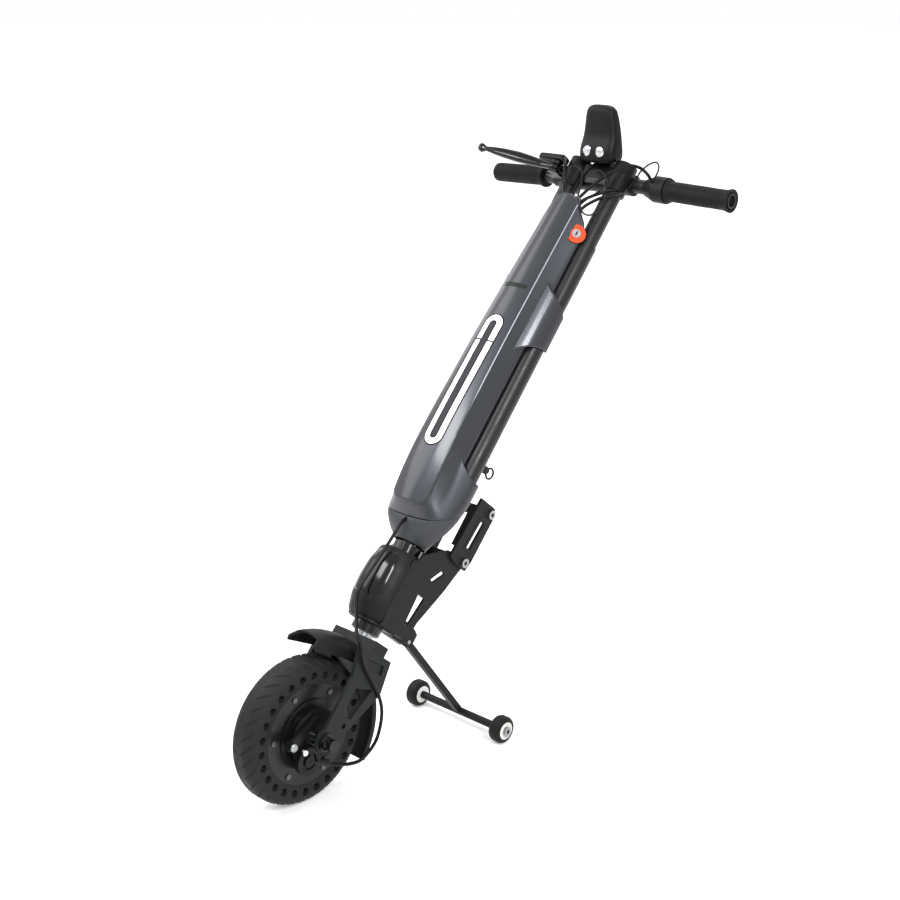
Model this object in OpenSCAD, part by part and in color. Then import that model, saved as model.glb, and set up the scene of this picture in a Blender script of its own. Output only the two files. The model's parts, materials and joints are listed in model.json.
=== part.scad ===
// Clip-on front-drive power assist for a wheelchair: a hub-motor wheel in a plate fork,
// a battery case on two telescopic tubes, a handlebar, and a docking bracket with a stand.
// Millimetres. +Z is up, the wheel leads along -Y, and the origin is on the floor
// under the middle of the whole unit.

/* [Front wheel] */
// Outer diameter of the solid tyre
wheel_d = 216; // [206:1:230]
// Width of the tyre
tyre_w = 50; // [46:1:56]
// Height of the tyre's rounded shoulders
tyre_shoulder = 22; // [14:1:26]
// Width of the flat middle of the tread
tread_flat = 12; // [6:1:20]
// Diameter of the rim that carries the tyre
rim_d = 148; // [146:1:150]
// Diameter of the round holes in the sidewalls
tyre_hole_d = 11; // [8:0.5:12]
// Depth of the round holes in the sidewalls
tyre_hole_depth = 15; // [8:1:18]
// Number of holes in each sidewall
tyre_holes = 26; // [16:1:28]

/* [Hub motor] */
// Width of the rim and of the motor shell
hub_w = 44; // [40:1:46]
// Width of the rim's edge round the side cover
cover_edge = 4; // [3:0.25:5]
// Thickness of the side covers
cover_t = 4; // [3:0.5:5]
// Height of each step of the covers' bosses
boss_step = 3; // [2:0.25:3.25]
// Distance of the cover's screws from its edge
screw_inset = 5; // [4:0.25:6.5]
// Number of cover screws
cover_screw_count = 6; // [4:1:8]
// Diameter of the cover screws
cover_screw_d = 4; // [3:0.5:5]
// Wall of the rim outside the magnets
rim_wall = 14; // [12:0.5:16]
// Thickness of the magnet ring
magnet_t = 5; // [3:0.5:7]
// Gap between the magnets and the stator
air_gap = 1; // [0.6:0.1:2]
// Length of the stator along the axle
stator_w = 26; // [18:1:28]
// Diameter of the axle
axle_d = 12; // [10:0.5:14]
// Outer diameter of the hub bearings
bearing_d = 28; // [24:1:32]
// Width of the hub bearings
bearing_w = 8; // [6:1:9]

/* [Fork] */
// Room between the tyre and the web under the fork crown
crown_gap = 27.4; // [24:0.2:34]
// Distance of the axle ahead of the steering axis
fork_offset = 29; // [20:1:36]
// Clear width between the fork legs
dropout_gap = 102; // [100:1:112]
// Thickness of the fork's plates
leg_t = 6; // [4:0.5:8]
// Depth of the legs from front to rear at their top
leg_depth = 74; // [66:1:82]
// Diameter of the rounded leg ends
dropout_d = 32; // [28:1:38]
// Width of the crown block
crown_w = 86; // [70:1:96]
// Depth of the crown block
crown_depth = 30; // [30:1:34]
// Height of the crown block
crown_h = 16; // [12:1:18]
// Width across the axle nuts
nut_d = 22; // [18:1:26]
// Length of the axle nuts
nut_l = 18; // [14:1:24]

/* [Mudguards] */
// Rise of the front mudguard over the web's underside, from the axle
guard_rise = 8.6; // [6:0.1:12]
// Gap from the tyre to the rear mudguard
rear_guard_gap = 11; // [8:1:13]
// Width of the mudguards
guard_w = 62; // [58:1:70]
// Thickness of the mudguards
guard_t = 2.5; // [2:0.25:3.5]

/* [Drum brake] */
// Diameter of the fixed brake plate
brake_plate_d = 84; // [80:1:90]
// Thickness of the fixed brake plate
brake_plate_t = 3; // [2:0.25:3.5]
// Thickness of the brake arm
brake_arm_t = 5; // [4:0.25:5.5]
// Width of the brake arm
brake_arm_w = 15; // [13:0.5:17]
// Length of the brake arm between its two bolts
brake_arm_l = 50; // [44:1:54]
// Diameter of the cable anchor
anchor_d = 42; // [36:1:43]

/* [Head and steering] */
// Lean of the steering axis back from upright
column_lean = 39.8; // [38:0.1:42]
// Distance between the two headset races
head_length = 124; // [120:1:132]
// Outer diameter of the steerer
steerer_d = 28.6; // [26:0.1:30]
// Wall of the steerer
steerer_wall = 3; // [2:0.25:4]
// Outer diameter of the headset cups
cup_d = 44; // [42:1:46]
// Height of the headset cups
cup_h = 14; // [12:1:15]
// Wall of the headset cups
cup_wall = 3; // [2.5:0.25:4]
// Largest radius of the nose cover
nose_r = 45; // [43:0.5:48]
// Thickness of the nose cover
nose_t = 3; // [2:0.25:4]

/* [Docking bracket] */
// Clear width between the side plates
plate_gap = 60; // [58:1:64]
// Thickness of the side plates
plate_t = 4; // [3:0.5:5]
// Reach of the side plates behind the steering axis
plate_reach = 93; // [88:1:98]
// Height of the side plates along the steering axis
plate_top = 156; // [152:1:160]
// Thickness of the docking arms
arm_t = 5; // [4:0.5:6]
// Width of the docking arms
arm_w = 46; // [42:1:48]
// Length of the docking arms between their two bolts
arm_l = 84; // [76:1:90]
// Width of the slot in the docking arms
arm_slot_w = 10; // [8:0.5:12]
// Length of the slot in the docking arms
arm_slot_l = 46; // [40:1:50]
// Diameter of the docking bars
dock_bar_d = 16; // [14:0.5:18]
// Diameter of the docking bolts
dock_bolt_d = 8; // [6:0.5:10]
// Diameter of the docking bolts' heads
dock_head_d = 14; // [12:0.5:16]

/* [Stand] */
// Distance of the stand's pivot behind the steering axis
stand_reach = 88.5; // [84:0.5:94]
// Height of the stand's pivot above the lower headset, along the steering axis
stand_rise = 14; // [12:0.5:18]
// Slope of the stand leg back from upright
stand_angle = 37; // [34:0.5:40]
// Width of the square stand leg
stand_bar = 10; // [9:0.5:12]
// Diameter of the stand's pivot pin
stand_pin_d = 6; // [5:0.5:6.5]
// Diameter of the stand's cross tube
cross_tube_d = 12; // [11:0.5:14]
// Distance between the middles of the casters
caster_track = 179; // [160:1:200]
// Diameter of the casters
caster_d = 42; // [38:1:48]
// Width of the casters
caster_w = 20; // [16:1:24]
// Diameter of the caster hubs
caster_hub_d = 27; // [24:1:30]
// Diameter of the caster bolts
caster_bolt_d = 8; // [6:0.5:8.5]

/* [Column] */
// Distance between the two column tubes
tube_spacing = 88; // [86:1:90]
// Distance of the tubes ahead of the steering axis
tube_forward = 4; // [2:0.5:5]
// Outer diameter of the fixed tubes
tube_d = 32; // [31:0.5:33]
// Distance of the fixed tubes' top below the case's top
tube_drop = 62; // [50:1:80]
// Outer diameter of the sliding tubes
slide_d = 28; // [27:0.5:29]
// Wall of the sliding tubes
slide_wall = 2; // [1.5:0.25:3]
// Height of the yoke that joins the tubes to the steerer
yoke_h = 24; // [20:1:28]

/* [Battery case] */
// Height of the case's top above the lower headset
case_top = 720; // [712:1:730]
// Distance of the case's front crest ahead of the steering axis, where the case is deepest
case_front = 64; // [62:0.5:67]
// Rise of the rounded front above its two creases
crown_rise = 7; // [5:0.5:8]
// Width of the rounded front between its creases, at the case's foot
crease_w = 70; // [66:1:72]
// Width of the case over its side panels
panel_w = 96; // [94:1:100]
// How far the wings that wrap the tubes stand out past them
wing_out = 5; // [4:0.25:7]
// Thickness of the case's walls
case_wall = 3; // [2:0.25:3.5]
// Length of the battery pack
battery_l = 290; // [240:5:300]
// Length of the motor controller
controller_l = 70; // [50:1:76]
// Outer width of the light strip's loop
strip_w = 33; // [28:1:36]
// Width of the light strip's band
strip_band = 10; // [8:0.5:11]
// Length of the light strip's loop
strip_l = 222; // [200:1:230]
// Diameter of the key lock's bezel
lock_d = 29; // [26:0.5:30]
// Diameter of the key barrel
key_d = 13; // [11:0.5:15]

/* [Handlebar] */
// Height of the bar above the case's top, along the steering axis
bar_rise = 63; // [55:1:80]
// Width over the grips
bar_w = 462; // [430:1:500]
// Outer diameter of the bar
bar_d = 22.2; // [20:0.1:24]
// Wall of the bar
bar_wall = 2; // [1.5:0.25:3]
// Distance of the bar behind the steering axis
bar_back = 17; // [15:0.5:20]
// Sweep of the bar's ends
bar_sweep = 3; // [1:0.5:5]
// Distance of the grips' inner ends from the middle
grip_in = 119; // [112:1:125]
// Diameter of the grips
grip_d = 31; // [29:0.5:34]
// Length of the throttle's housing
throttle_l = 38; // [32:1:42]
// Diameter of the throttle's housing
throttle_d = 40; // [36:0.5:44]
// Length of the brake lever from its pivot
lever_l = 134; // [115:1:140]

/* [Display] */
// Width of the display and headlamp pod at its foot
pod_w = 64; // [58:1:68]
// Height of the pod
pod_h = 88; // [80:1:96]
// Depth of the pod at its foot
pod_depth = 38; // [34:1:42]
// Diameter of the headlamp lenses
lens_d = 18; // [14:0.5:20]
// Diameter of the round buttons
button_d = 11; // [9:0.5:12]

/* [Hidden] */
$fn = 48;
// One overrun serves all cuts
cut = 2;
// Radial clearance of running fits
run_clear = 0.05;
// Clearance between faces that pass each other
face_clear = 0.4;
// Clearance between seated pieces
seat_clear = 0.25;

// Wheel and hub, measured from the wheel's middle along the axle
tyre_r = wheel_d / 2;
rim_r = rim_d / 2;
cover_d = rim_d - 2 * cover_edge;
screw_ring_d = cover_d - 2 * screw_inset;
axle_r = axle_d / 2;
half_tyre = tyre_w / 2;
half_hub = hub_w / 2;
hole_ring_r = rim_r + (tyre_r - rim_r) * 0.36;
magnet_out_r = rim_r - rim_wall;
stator_r = magnet_out_r - magnet_t - air_gap;
cover_in = half_hub - cover_t;
boss_shares = [0.74, 0.56, 0.42];
boss_end = half_hub + boss_step * len(boss_shares);
brake_plate_in = boss_end + boss_step / 2;
brake_plate_out = brake_plate_in + brake_plate_t;
collar_r = axle_r * 1.5;
leg_in = dropout_gap / 2;
leg_out = leg_in + leg_t;
nut_flange = nut_l / 6;
shoulder_steps = 8;
tooth_count = 18;
tooth_share = 0.55;
screw_turn_share = 0.37;

// Steering axis: its foot is the lower headset's race
sweep_start = 62;
half_width = bar_w / 2;
grip_l = half_width - grip_in;
bar_height = case_top + bar_rise;
bend_r = 3 * bar_d;
bend_run = bend_r * sin(bar_sweep);
bend_back = bend_r * (1 - cos(bar_sweep));
grip_end = (half_width - sweep_start - bend_run) / cos(bar_sweep);
leg_top = crown_h + cup_h + 4 * face_clear;
web_low = -(leg_top + leg_t);
fork_length = tyre_r + crown_gap - web_low;
fork_run = fork_offset * cos(column_lean) + fork_length * sin(column_lean);
fork_lift = fork_length * cos(column_lean) - fork_offset * sin(column_lean);
bar_end_back = bar_back + bend_back + grip_end * sin(bar_sweep);
rear_reach = fork_run + bar_height * sin(column_lean) + bar_end_back * cos(column_lean) + grip_d * 0.58;
axle_y = (tyre_r - rear_reach) / 2;
head_y = axle_y + fork_run;
head_z = tyre_r + fork_lift;

// Fork: the leg's points are shares of its depth and its drop, and how far each follows the axle
leg_drop = fork_length - leg_top;
leg_trim_share = -0.35;
leg_shares = [[0.23, 0, 0], [0.38, 0.33, 0], [0.365, 0.86, 1], [0.2, 1, 1], [-0.2, 1, 1],
              [-0.16, 0.9, 1], [-0.54, 0.33, 0], [-0.77, 0, 0]];
far_leg_shares = [for (p = leg_shares) p[0] < leg_trim_share ? [leg_trim_share, p[1], p[2]] : p];
leg_window_shares = [[-0.43, 0.09, 0], [0.11, 0.07, 0], [0.15, 0.17, 0], [-0.3, 0.16, 0]];
leg_slot_shares = [[-0.32, 0.4, 0], [0.11, 0.33, 0], [0.02, 0.69, 0.2], [-0.24, 0.71, 0.2]];
leg_bolt_share = 0.78;
leg_bolt_r = leg_t / 1.5;
crown_top = -(leg_top - crown_h);
web_rear = crown_depth * 0.57;
web_front = crown_depth * 0.6;

// Mudguards, as radii and angles about the axle
front_guard_gap = crown_gap + guard_rise;
front_guard_r = tyre_r + front_guard_gap;
rear_guard_r = tyre_r + rear_guard_gap;
front_guard_angles = [46.5, 86];
guard_tab = guard_w / 5;
rear_guard_angles = [-38, 41];
skirt_drop = front_guard_gap * 0.85;
guard_steps = 10;

// Brake plate, arm and anchor: places are shares of the brake plate's radius, along Y and Z
plate_r = brake_plate_d / 2;
cam_share = [-0.07, 0.66];
arm_angle = 207;
anchor_share = [-0.43, -0.66];
anchor_r = anchor_d / 2;
arm_in = brake_plate_out + face_clear;
cam_r = brake_arm_w / 3.75;
adjuster_r = anchor_r / 4;
adjuster_l = anchor_d * 0.95;
adjuster_angle = -25;
cable_r = 2.5;

// Head: the block, its cups and its bearings
steerer_r = steerer_d / 2;
cup_r = cup_d / 2;
cup_bore_r = cup_r - cup_wall;
block_low = cup_h - cup_h * 0.6;
block_high = head_length - block_low;
block_half = plate_gap / 2;
block_r = block_half + plate_t / 2;
block_rear = cup_r * 1.2;
block_bore_r = steerer_r + cup_wall;
head_top = head_length + cup_h * 0.6;
nose_low = block_low + plate_t;
nose_high = block_high - plate_t / 2;
nose_shares = [[0, 0.76], [0.05, 0.84], [0.25, 0.97], [0.5, 1], [0.75, 0.96], [0.95, 0.84], [1, 0.79]];
nose_angle = 128;

// Docking bracket: outlines are shares of the plates' reach and height
plate_shares = [[-0.15, 0.05], [-0.15, 0.72], [-0.05, 0.74], [0.03, 0.82], [0.29, 0.92], [0.5, 1],
                [0.98, 0.98], [0.93, 0.89], [0.82, 0.64], [0.59, 0.25], [0.57, 0.1], [0.46, 0.05]];
plate_window_shares = [[0.41, 0.67], [0.56, 0.8], [0.65, 0.785], [0.48, 0.65]];
plate_slot_shares = [[0.31, 0.485], [0.49, 0.48], [0.42, 0.19], [0.34, 0.175]];
plate_out = block_half + plate_t;
arm_out = plate_out + arm_t;
bolt_low = [plate_reach * 0.87, plate_top * 0.98];
bolt_high = [bolt_low[0] + arm_w / 9, bolt_low[1] + arm_l];
arm_round = arm_w / 3;
pad_rim = arm_slot_w / 2;
pad_t = arm_t / 10;
arm_front = bolt_low[0] - arm_w * 0.7;
flange_w = arm_t * 2;
dock_bar_r = dock_bar_d / 2;
dock_bolt_r = dock_bolt_d / 2;
dock_head_r = dock_head_d / 2;
dock_head_h = dock_head_d / 3;

// Stand: the leg's length puts the casters on the floor
caster_r = caster_d / 2;
caster_hub_r = caster_hub_d / 2;
cross_r = cross_tube_d / 2;
caster_bolt_r = caster_bolt_d / 2;
stand_pin_r = stand_pin_d / 2;
half_bar = stand_bar / 2;
pin_y = head_y + stand_reach * cos(column_lean) + stand_rise * sin(column_lean);
pin_z = head_z - stand_reach * sin(column_lean) + stand_rise * cos(column_lean);
leg_l = (pin_z - caster_r) / cos(stand_angle);
lug_half = half_bar + stand_bar * 0.36;
lug_r = stand_bar * 0.9;
caster_in = (caster_track - caster_w) / 2;
caster_out = (caster_track + caster_w) / 2;
caster_rim_t = caster_w / 10;
caster_round = caster_w / 4;

// Column tubes. The seam under the case is level when the unit stands
seam_rise = 192;
tube_x = tube_spacing / 2;
tube_r = tube_d / 2;
slide_r = slide_d / 2;
tube_bore_r = slide_r + run_clear;
yoke_lift = 20;
yoke_low = seam_rise + yoke_lift;
yoke_top = yoke_low + yoke_h;
tube_low = yoke_low - tube_r / 3;
tube_top = case_top - tube_drop;
slide_low = tube_low + tube_r / 2;
yoke_wall = tube_r / 18;
slide_top = bar_height - bar_d / 2 - slide_wall;
boss_r = slide_r * 1.25;
boss_drop = 30;
boss_rise = 19;
boss_low = bar_height - boss_drop;
boss_top = bar_height + boss_rise;

// Case
crease_half = crease_w / 2;
panel_half = panel_w / 2;
wing_w = tube_spacing + tube_d + 2 * wing_out;
wing_half = wing_w / 2;
crease_front = case_front - crown_rise;
panel_gap = 1;
panel_front = tube_forward + tube_r + case_wall + panel_gap;
// Front of the case at its stations: shares of its height, its half width and its depth at the creases
front_shares = [[0.18, 0.85, 0.7], [0.306, 0.995, 0.93], [0.389, 0.98, 1], [0.472, 0.955, 1],
                [0.639, 0.886, 0.956], [0.806, 0.806, 0.865], [1, 0.709, 0.737]];
top_half = crease_half * front_shares[6][1];
top_front = crease_front * front_shares[6][2];
panel_angle = atan2(panel_half - top_half, top_front - panel_front);
lid_front = panel_front - seat_clear;
tray_half = tube_x - tube_r - case_wall / 2;
tray_rear = tube_r * 0.875;
tray_low = 250;
rake_drop = 52;
rake_low = case_top - rake_drop;
lid_drop = 20;
tray_top = rake_low - lid_drop;
channel_low = 240;
wing_rear_half = wing_half * 0.89;
low_rear_half = wing_half * 0.74;
low_rear = tube_r * 1.06;
spine_rear = steerer_r + 4 * yoke_wall + 2 * seat_clear + case_wall;
spine_half = tube_x * 0.68;
mid_wing_drop = 154;
mid_wing_l = 92;
mid_wing_high = case_top - mid_wing_drop;
mid_wing_low = mid_wing_high - mid_wing_l;
low_wing_top = 306;
top_round = 34;
rake_share = 0.74;
rake_wall = 2.6;
toe_shares = [[0.95, 0], [0.8, 0.2], [0.66, 0.36]];
toe_back_share = 0.57;
wing_shares = [[0.5, 0.74], [0.72, 0.5], [0.91, 0.24], [1, 0.07]];
// Raked upper edge of the foot's wings: shares of the case's depth and of the wings' height
wing_edge_shares = [[0.05, 0.82], [0.27, 0.836], [0.5, 0.879], [0.625, 0.93], [0.75, 1]];
mid_wing_shares = [[0.55, 0.56], [0.71, 0.52], [0.88, 0.31], [0.955, 0.14]];
crown_steps = 12;
battery_half = tray_half - case_wall - seat_clear;
battery_front = top_front - case_wall + seat_clear;
battery_rear = tray_rear - case_wall - seat_clear;
battery_low = tray_low + controller_l + 4 * case_wall;
controller_low = tray_low + case_wall * 1.5;
controller_front = tube_r;
strip_low = 272;
strip_break_share = 0.8;
strip_break = 1.5;
strip_depth = 1.4;
strip_stand = 0.4;
window_drop = 176;
window_height = case_top - window_drop;
window_w = 44;
window_h = 9;
lock_drop = 60;
lock_height = case_top - lock_drop;
lock_share = 0.62;
lock_half = crease_half * lookup(lock_height / case_top, [for (p = front_shares) [p[0], p[1]]]);
lock_front = crease_front * lookup(lock_height / case_top, [for (p = front_shares) [p[0], p[2]]]);
lock_tilt = 1.3;
lock_flat_share = 0.5;
lock_r = lock_d / 2;
key_r = key_d / 2;
lock_t = 2.5;
lock_lift = 0.6;
lock_body_l = 6;
gland_r = 3.2;

// Handlebar pieces
bar_r = bar_d / 2;
grip_r = grip_d / 2;
throttle_r = throttle_d / 2;
grip_start = grip_end - grip_l;
grip_lip = grip_d / 12;
grip_lip_l = grip_d / 4;
throttle_start = grip_start - throttle_l - face_clear;
bridge_half = tube_x + boss_r * 0.75;
clamp_r = bar_r * 1.45;
web_half = clamp_r * 0.7;
perch_start = 24;
perch_l = 30;
perch_r = bar_r * 1.36;
pivot_out = 14;
pivot_ahead = 26;
pivot_x = sweep_start + pivot_out;
pivot_front = bar_back - bar_r - pivot_ahead;
pivot_r = 3;
lever_h = 9;
lever_angle = 22;
lever_tilt = 9.4;
lever_w = 12;
ball_r = 7;
ear_r = 9;

// Display pod, upright in use
pod_ahead = 12;
pod_lift = 6;
pod_foot_y = head_y + boss_top * sin(column_lean) - pod_ahead;
pod_foot_z = head_z + boss_top * cos(column_lean) + pod_lift;
pod_round = 9;
pod_top_share = 0.6;
pod_neck_share = 0.55;
lens_r = lens_d / 2;
lens_gap = lens_d * 1.5;
lens_height = pod_h * 0.2;
lens_t = 4;
button_r = button_d / 2;
button_out = 1.6;
button_travel = 1.2;
button_gap = button_d * 1.7;
button_height = pod_h * 0.3;
socket_depth = 5;

// Plunger that locks the sliding tubes
plunger_height = 283;
plunger_r = 6;
plunger_l = 14;
plunger_pin_r = 3;
ring_r = 8;
ring_wire_r = 1.6;

// Routes of the cables: across, behind the steering axis and up it
lower_route = [[3, -30, 168], [3, -37, 161], [4, -42.5, 150], [4, -44, 136], [5, -46.5, 120],
               [5, -50, 95], [5, -55, 64], [6, -58, 37], [12, -53, 14], [25, -53, -4],
               [42, -60, -20], [56.5, -60.5, -31], [61.5, -52, -44], [61, -36, -55], [61, -20, -63],
               [61, -2, -70], [60, 24.6, -82], [58, 46, -97], [56, 61, -118], [54.5, 68, -142],
               [51, 62, -170], [47, 46, -184], [43, 28, -192], [41, 16, -196], [41, 8, -197]];
// The upper ones climb from the case's glands to the bar, by shares of the way
gland_drop = 38;
gland_low = case_top - gland_drop;
function raised(shares) =
  [for (p = shares) [p[0], p[1], gland_low + p[2] * (bar_height - gland_low)]];
lever_shares = [[-69, 2, 1], [-65, -9, 1.03], [-61, -22, 1.079], [-52, -33, 1.05], [-40, -40, 0.891],
                [-28, -41, 0.673], [-18, -38, 0.455], [-13, -37, 0.297], [-12, -37, 0.158], [-12, -37, 0]];
throttle_shares = [[100, -3, 1], [97, -14, 1.04], [86, -24, 1.079], [70, -31, 1.05], [52, -35, 0.911],
                   [35, -37, 0.693], [21, -37, 0.475], [13, -37, 0.297], [12, -37, 0.158], [12, -37, 0]];
display_shares = [[0, -20, 1.089], [0, -27, 0.99], [0, -33, 0.832], [0, -36, 0.614], [0, -37, 0.416],
                  [0, -37, 0.277], [0, -37, 0.139], [0, -37, 0]];
lever_route = raised(lever_shares);
throttle_route = raised(throttle_shares);
display_route = raised(display_shares);
cord_sides = 8;

// Steering frame: X across, Y behind the steering axis, Z up it
module in_column() {
  translate([0, head_y, head_z]) rotate([-column_lean, 0, 0]) children();
}

// Wheel frame: Z along the axle towards the brake
module on_axle() {
  translate([0, axle_y, tyre_r]) rotate([0, 90, 0]) children();
}

// Stand frame: the leg runs down -Z, and +Y faces its stop
module in_stand() {
  translate([0, pin_y, pin_z]) rotate([stand_angle, 0, 0]) children();
}

// An outline of [behind, up] points, cut from plate that starts at x
module side_plate(points, x, thick) {
  translate([x, 0, 0]) rotate([90, 0, 90]) linear_extrude(thick) polygon(points);
}

// The same plate on both sides of the middle
module both_sides() {
  children();
  mirror([1, 0, 0]) children();
}

// A ring or a disc, bored along its own axis
module ring(outer, inner, high) {
  difference() {
    cylinder(r = outer, h = high);
    translate([0, 0, -cut]) cylinder(r = inner, h = high + 2 * cut);
  }
}

// A cylinder along X between two places
module rod_x(radius, from, to) {
  translate([from, 0, 0]) rotate([0, 90, 0]) cylinder(r = radius, h = to - from);
}

// Points on a smooth curve through a route, with a few steps on each stretch
function spline_point(p, i, t) =
  let (a = p[max(i - 1, 0)], b = p[i], c = p[i + 1], d = p[min(i + 2, len(p) - 1)])
  (2 * b + (c - a) * t + (2 * a - 5 * b + 4 * c - d) * t * t
   + (3 * b - a - 3 * c + d) * t * t * t) / 2;
function smooth(p, steps) =
  [for (i = [0:len(p) - 2], k = [0:steps - 1]) spline_point(p, i, k / steps), p[len(p) - 1]];
function unit(v) = v / norm(v);
function heading(p, i) = unit(p[min(i + 1, len(p) - 1)] - p[max(i - 1, 0)]);

// A round cord swept along its route
module cord(route, radius, steps, across) {
  path = smooth(route, steps);
  n = len(path);
  corners = [for (i = [0:n - 1])
               let (t = heading(path, i), u = unit(cross(t, across)), v = cross(t, u))
               for (k = [0:cord_sides - 1])
                 path[i] + radius * (cos(360 * k / cord_sides) * u + sin(360 * k / cord_sides) * v)];
  skin = [for (i = [0:n - 2], k = [0:cord_sides - 1])
            let (a = i * cord_sides + k, b = i * cord_sides + (k + 1) % cord_sides)
            each [[a, b, b + cord_sides], [a, b + cord_sides, a + cord_sides]]];
  first = [for (k = [1:cord_sides - 2]) [0, k + 1, k]];
  last = [for (k = [1:cord_sides - 2])
            [(n - 1) * cord_sides, (n - 1) * cord_sides + k, (n - 1) * cord_sides + k + 1]];
  polyhedron(corners, concat(skin, first, last));
}

// Docking bracket

module head_block() {
  color("#1c1c1e") in_column() difference() {
    intersection() {
      translate([-block_half, -block_r, block_low])
        cube([plate_gap, block_r + block_rear, block_high - block_low]);
      union() {
        translate([0, 0, block_low]) cylinder(r = block_r, h = block_high - block_low);
        translate([-block_half, 0, block_low]) cube([plate_gap, block_rear, block_high - block_low]);
      }
    }
    translate([0, 0, block_low - cut]) cylinder(r = block_bore_r, h = head_length);
  }
}

function plate_points(shares) = [for (p = shares) [p[0] * plate_reach, p[1] * plate_top]];

module side_plates() {
  color("#232325") in_column() both_sides() difference() {
    side_plate(plate_points(plate_shares), block_half, plate_t);
    side_plate(plate_points(plate_window_shares), block_half - cut, plate_t + 2 * cut);
    side_plate(plate_points(plate_slot_shares), block_half - cut, plate_t + 2 * cut);
    translate([0, bolt_low[0], bolt_low[1]]) rod_x(dock_bolt_r, block_half - cut, plate_out + cut);
  }
}

module dock_arm() {
  slot_low = bolt_low[1] + (arm_l - arm_slot_l) / 2 + arm_round / 8;
  slot_y = (bolt_low[0] + bolt_high[0]) / 2 - arm_w / 6;
  lean = atan2(bolt_high[0] - bolt_low[0], arm_l);
  top = [bolt_high[0] - arm_w * 0.66, bolt_high[1] + arm_w / 4];
  points = [[arm_front, bolt_low[1] - arm_w / 10], [arm_front + arm_w / 9, top[1]],
            [bolt_high[0] + arm_w / 12, top[1]], [bolt_high[0] + arm_w / 4, bolt_high[1] + arm_w / 20],
            [bolt_low[0] + arm_w / 3, bolt_low[1] + arm_w / 6],
            [bolt_low[0] + arm_w / 4, bolt_low[1] - arm_w / 5],
            [bolt_low[0] - arm_w / 3, bolt_low[1] - arm_w / 5]];
  difference() {
    union() {
      side_plate(points, plate_out, arm_t);
      translate([0, slot_y, slot_low]) rotate([-lean, 0, 0])
        translate([plate_out, -arm_slot_w / 2 - pad_rim, -pad_rim])
          cube([arm_t + pad_t, arm_slot_w + 2 * pad_rim, arm_slot_l + 2 * pad_rim]);
    }
    translate([0, slot_y, slot_low]) rotate([-lean, 0, 0])
      translate([plate_out - cut, -arm_slot_w / 2, 0])
        cube([arm_t + 2 * cut, arm_slot_w, arm_slot_l]);
    translate([0, bolt_low[0], bolt_low[1]]) rod_x(dock_bolt_r, plate_out - cut, arm_out + cut);
    translate([0, bolt_high[0], bolt_high[1]]) rod_x(dock_bolt_r, plate_out - cut, arm_out + cut);
  }
  translate([plate_out - flange_w, arm_front + arm_w / 9, bolt_low[1] + arm_w / 3])
    cube([flange_w, arm_t, bolt_high[1] - bolt_low[1] - arm_w / 3]);
}

module dock_arms() {
  color("#1b1b1d") in_column() both_sides() dock_arm();
}

module dock_bars() {
  color("#2b2c2e") in_column() {
    translate([0, bolt_low[0], bolt_low[1]]) rotate([0, 90, 0])
      translate([0, 0, -block_half]) ring(dock_bar_r, dock_bolt_r, 2 * block_half);
    translate([0, bolt_high[0], bolt_high[1]]) rotate([0, 90, 0])
      translate([0, 0, -plate_out]) ring(dock_bar_r, dock_bolt_r, 2 * plate_out);
  }
}

module dock_bolt(place) {
  translate([0, place[0], place[1]]) {
    rod_x(dock_bolt_r, -arm_out, arm_out);
    both_sides() rod_x(dock_head_r, arm_out, arm_out + dock_head_h);
  }
}

module dock_bolts() {
  color("#d7d8da") {
    in_column() dock_bolt(bolt_low);
    in_column() dock_bolt(bolt_high);
    in_stand() rod_x(stand_pin_r, -lug_half, lug_half);
  }
}

module nose_cover() {
  span = nose_high - nose_low;
  outer = [for (p = nose_shares) [p[1] * nose_r, nose_low + p[0] * span]];
  inner = [for (i = [len(nose_shares) - 2:-1:1])
             [nose_shares[i][1] * nose_r - nose_t, nose_low + nose_shares[i][0] * span]];
  lip = block_r + seat_clear;
  color("#101012") in_column()
    rotate([0, 0, -90 - nose_angle / 2]) rotate_extrude(angle = nose_angle)
      polygon(concat(outer, [[lip, nose_high]], [[lip, nose_high - nose_t]], inner,
                     [[lip, nose_low + nose_t]], [[lip, nose_low]]));
}

module headset_cups() {
  color("#0f0f10") in_column() {
    translate([0, 0, block_low - cup_h]) ring(cup_r, cup_bore_r, cup_h);
    translate([0, 0, block_high]) ring(cup_r, cup_bore_r, cup_h);
  }
}

module stand_lug() {
  top = stand_rise + lug_r * 2.2;
  points = [[block_rear, block_low], [block_rear, top + lug_r], [stand_reach, top],
            [stand_reach + lug_r, top - lug_r / 2], [stand_reach + lug_r, stand_rise],
            [stand_reach, stand_rise - lug_r], [block_rear + lug_r, block_low]];
  color("#1b1b1d") difference() {
    in_column() side_plate(points, -lug_half, 2 * lug_half);
    in_stand() translate([-half_bar - seat_clear, -2 * leg_l, -leg_l])
      cube([stand_bar + 2 * seat_clear, 2 * leg_l + half_bar + seat_clear, leg_l + half_bar + cut]);
    in_stand() rod_x(stand_pin_r, -lug_half - cut, lug_half + cut);
  }
}

// Stand and casters

module stand_leg() {
  color("#1d1d1f") in_stand() difference() {
    union() {
      rod_x(half_bar, -half_bar, half_bar);
      translate([-half_bar, -half_bar, -leg_l]) cube([stand_bar, stand_bar, leg_l]);
    }
    rod_x(stand_pin_r + run_clear, -half_bar - cut, half_bar + cut);
    translate([0, 0, -leg_l]) rod_x(cross_r, -half_bar - cut, half_bar + cut);
    translate([-half_bar - cut, -half_bar - cut, -leg_l - cross_r])
      cube([stand_bar + 2 * cut, stand_bar + 2 * cut, cross_r]);
  }
}

module cross_tube() {
  color("#18181a") in_stand() translate([0, 0, -leg_l]) rotate([0, 90, 0])
    translate([0, 0, -caster_in + face_clear])
      ring(cross_r, caster_bolt_r, 2 * (caster_in - face_clear));
}

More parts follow.
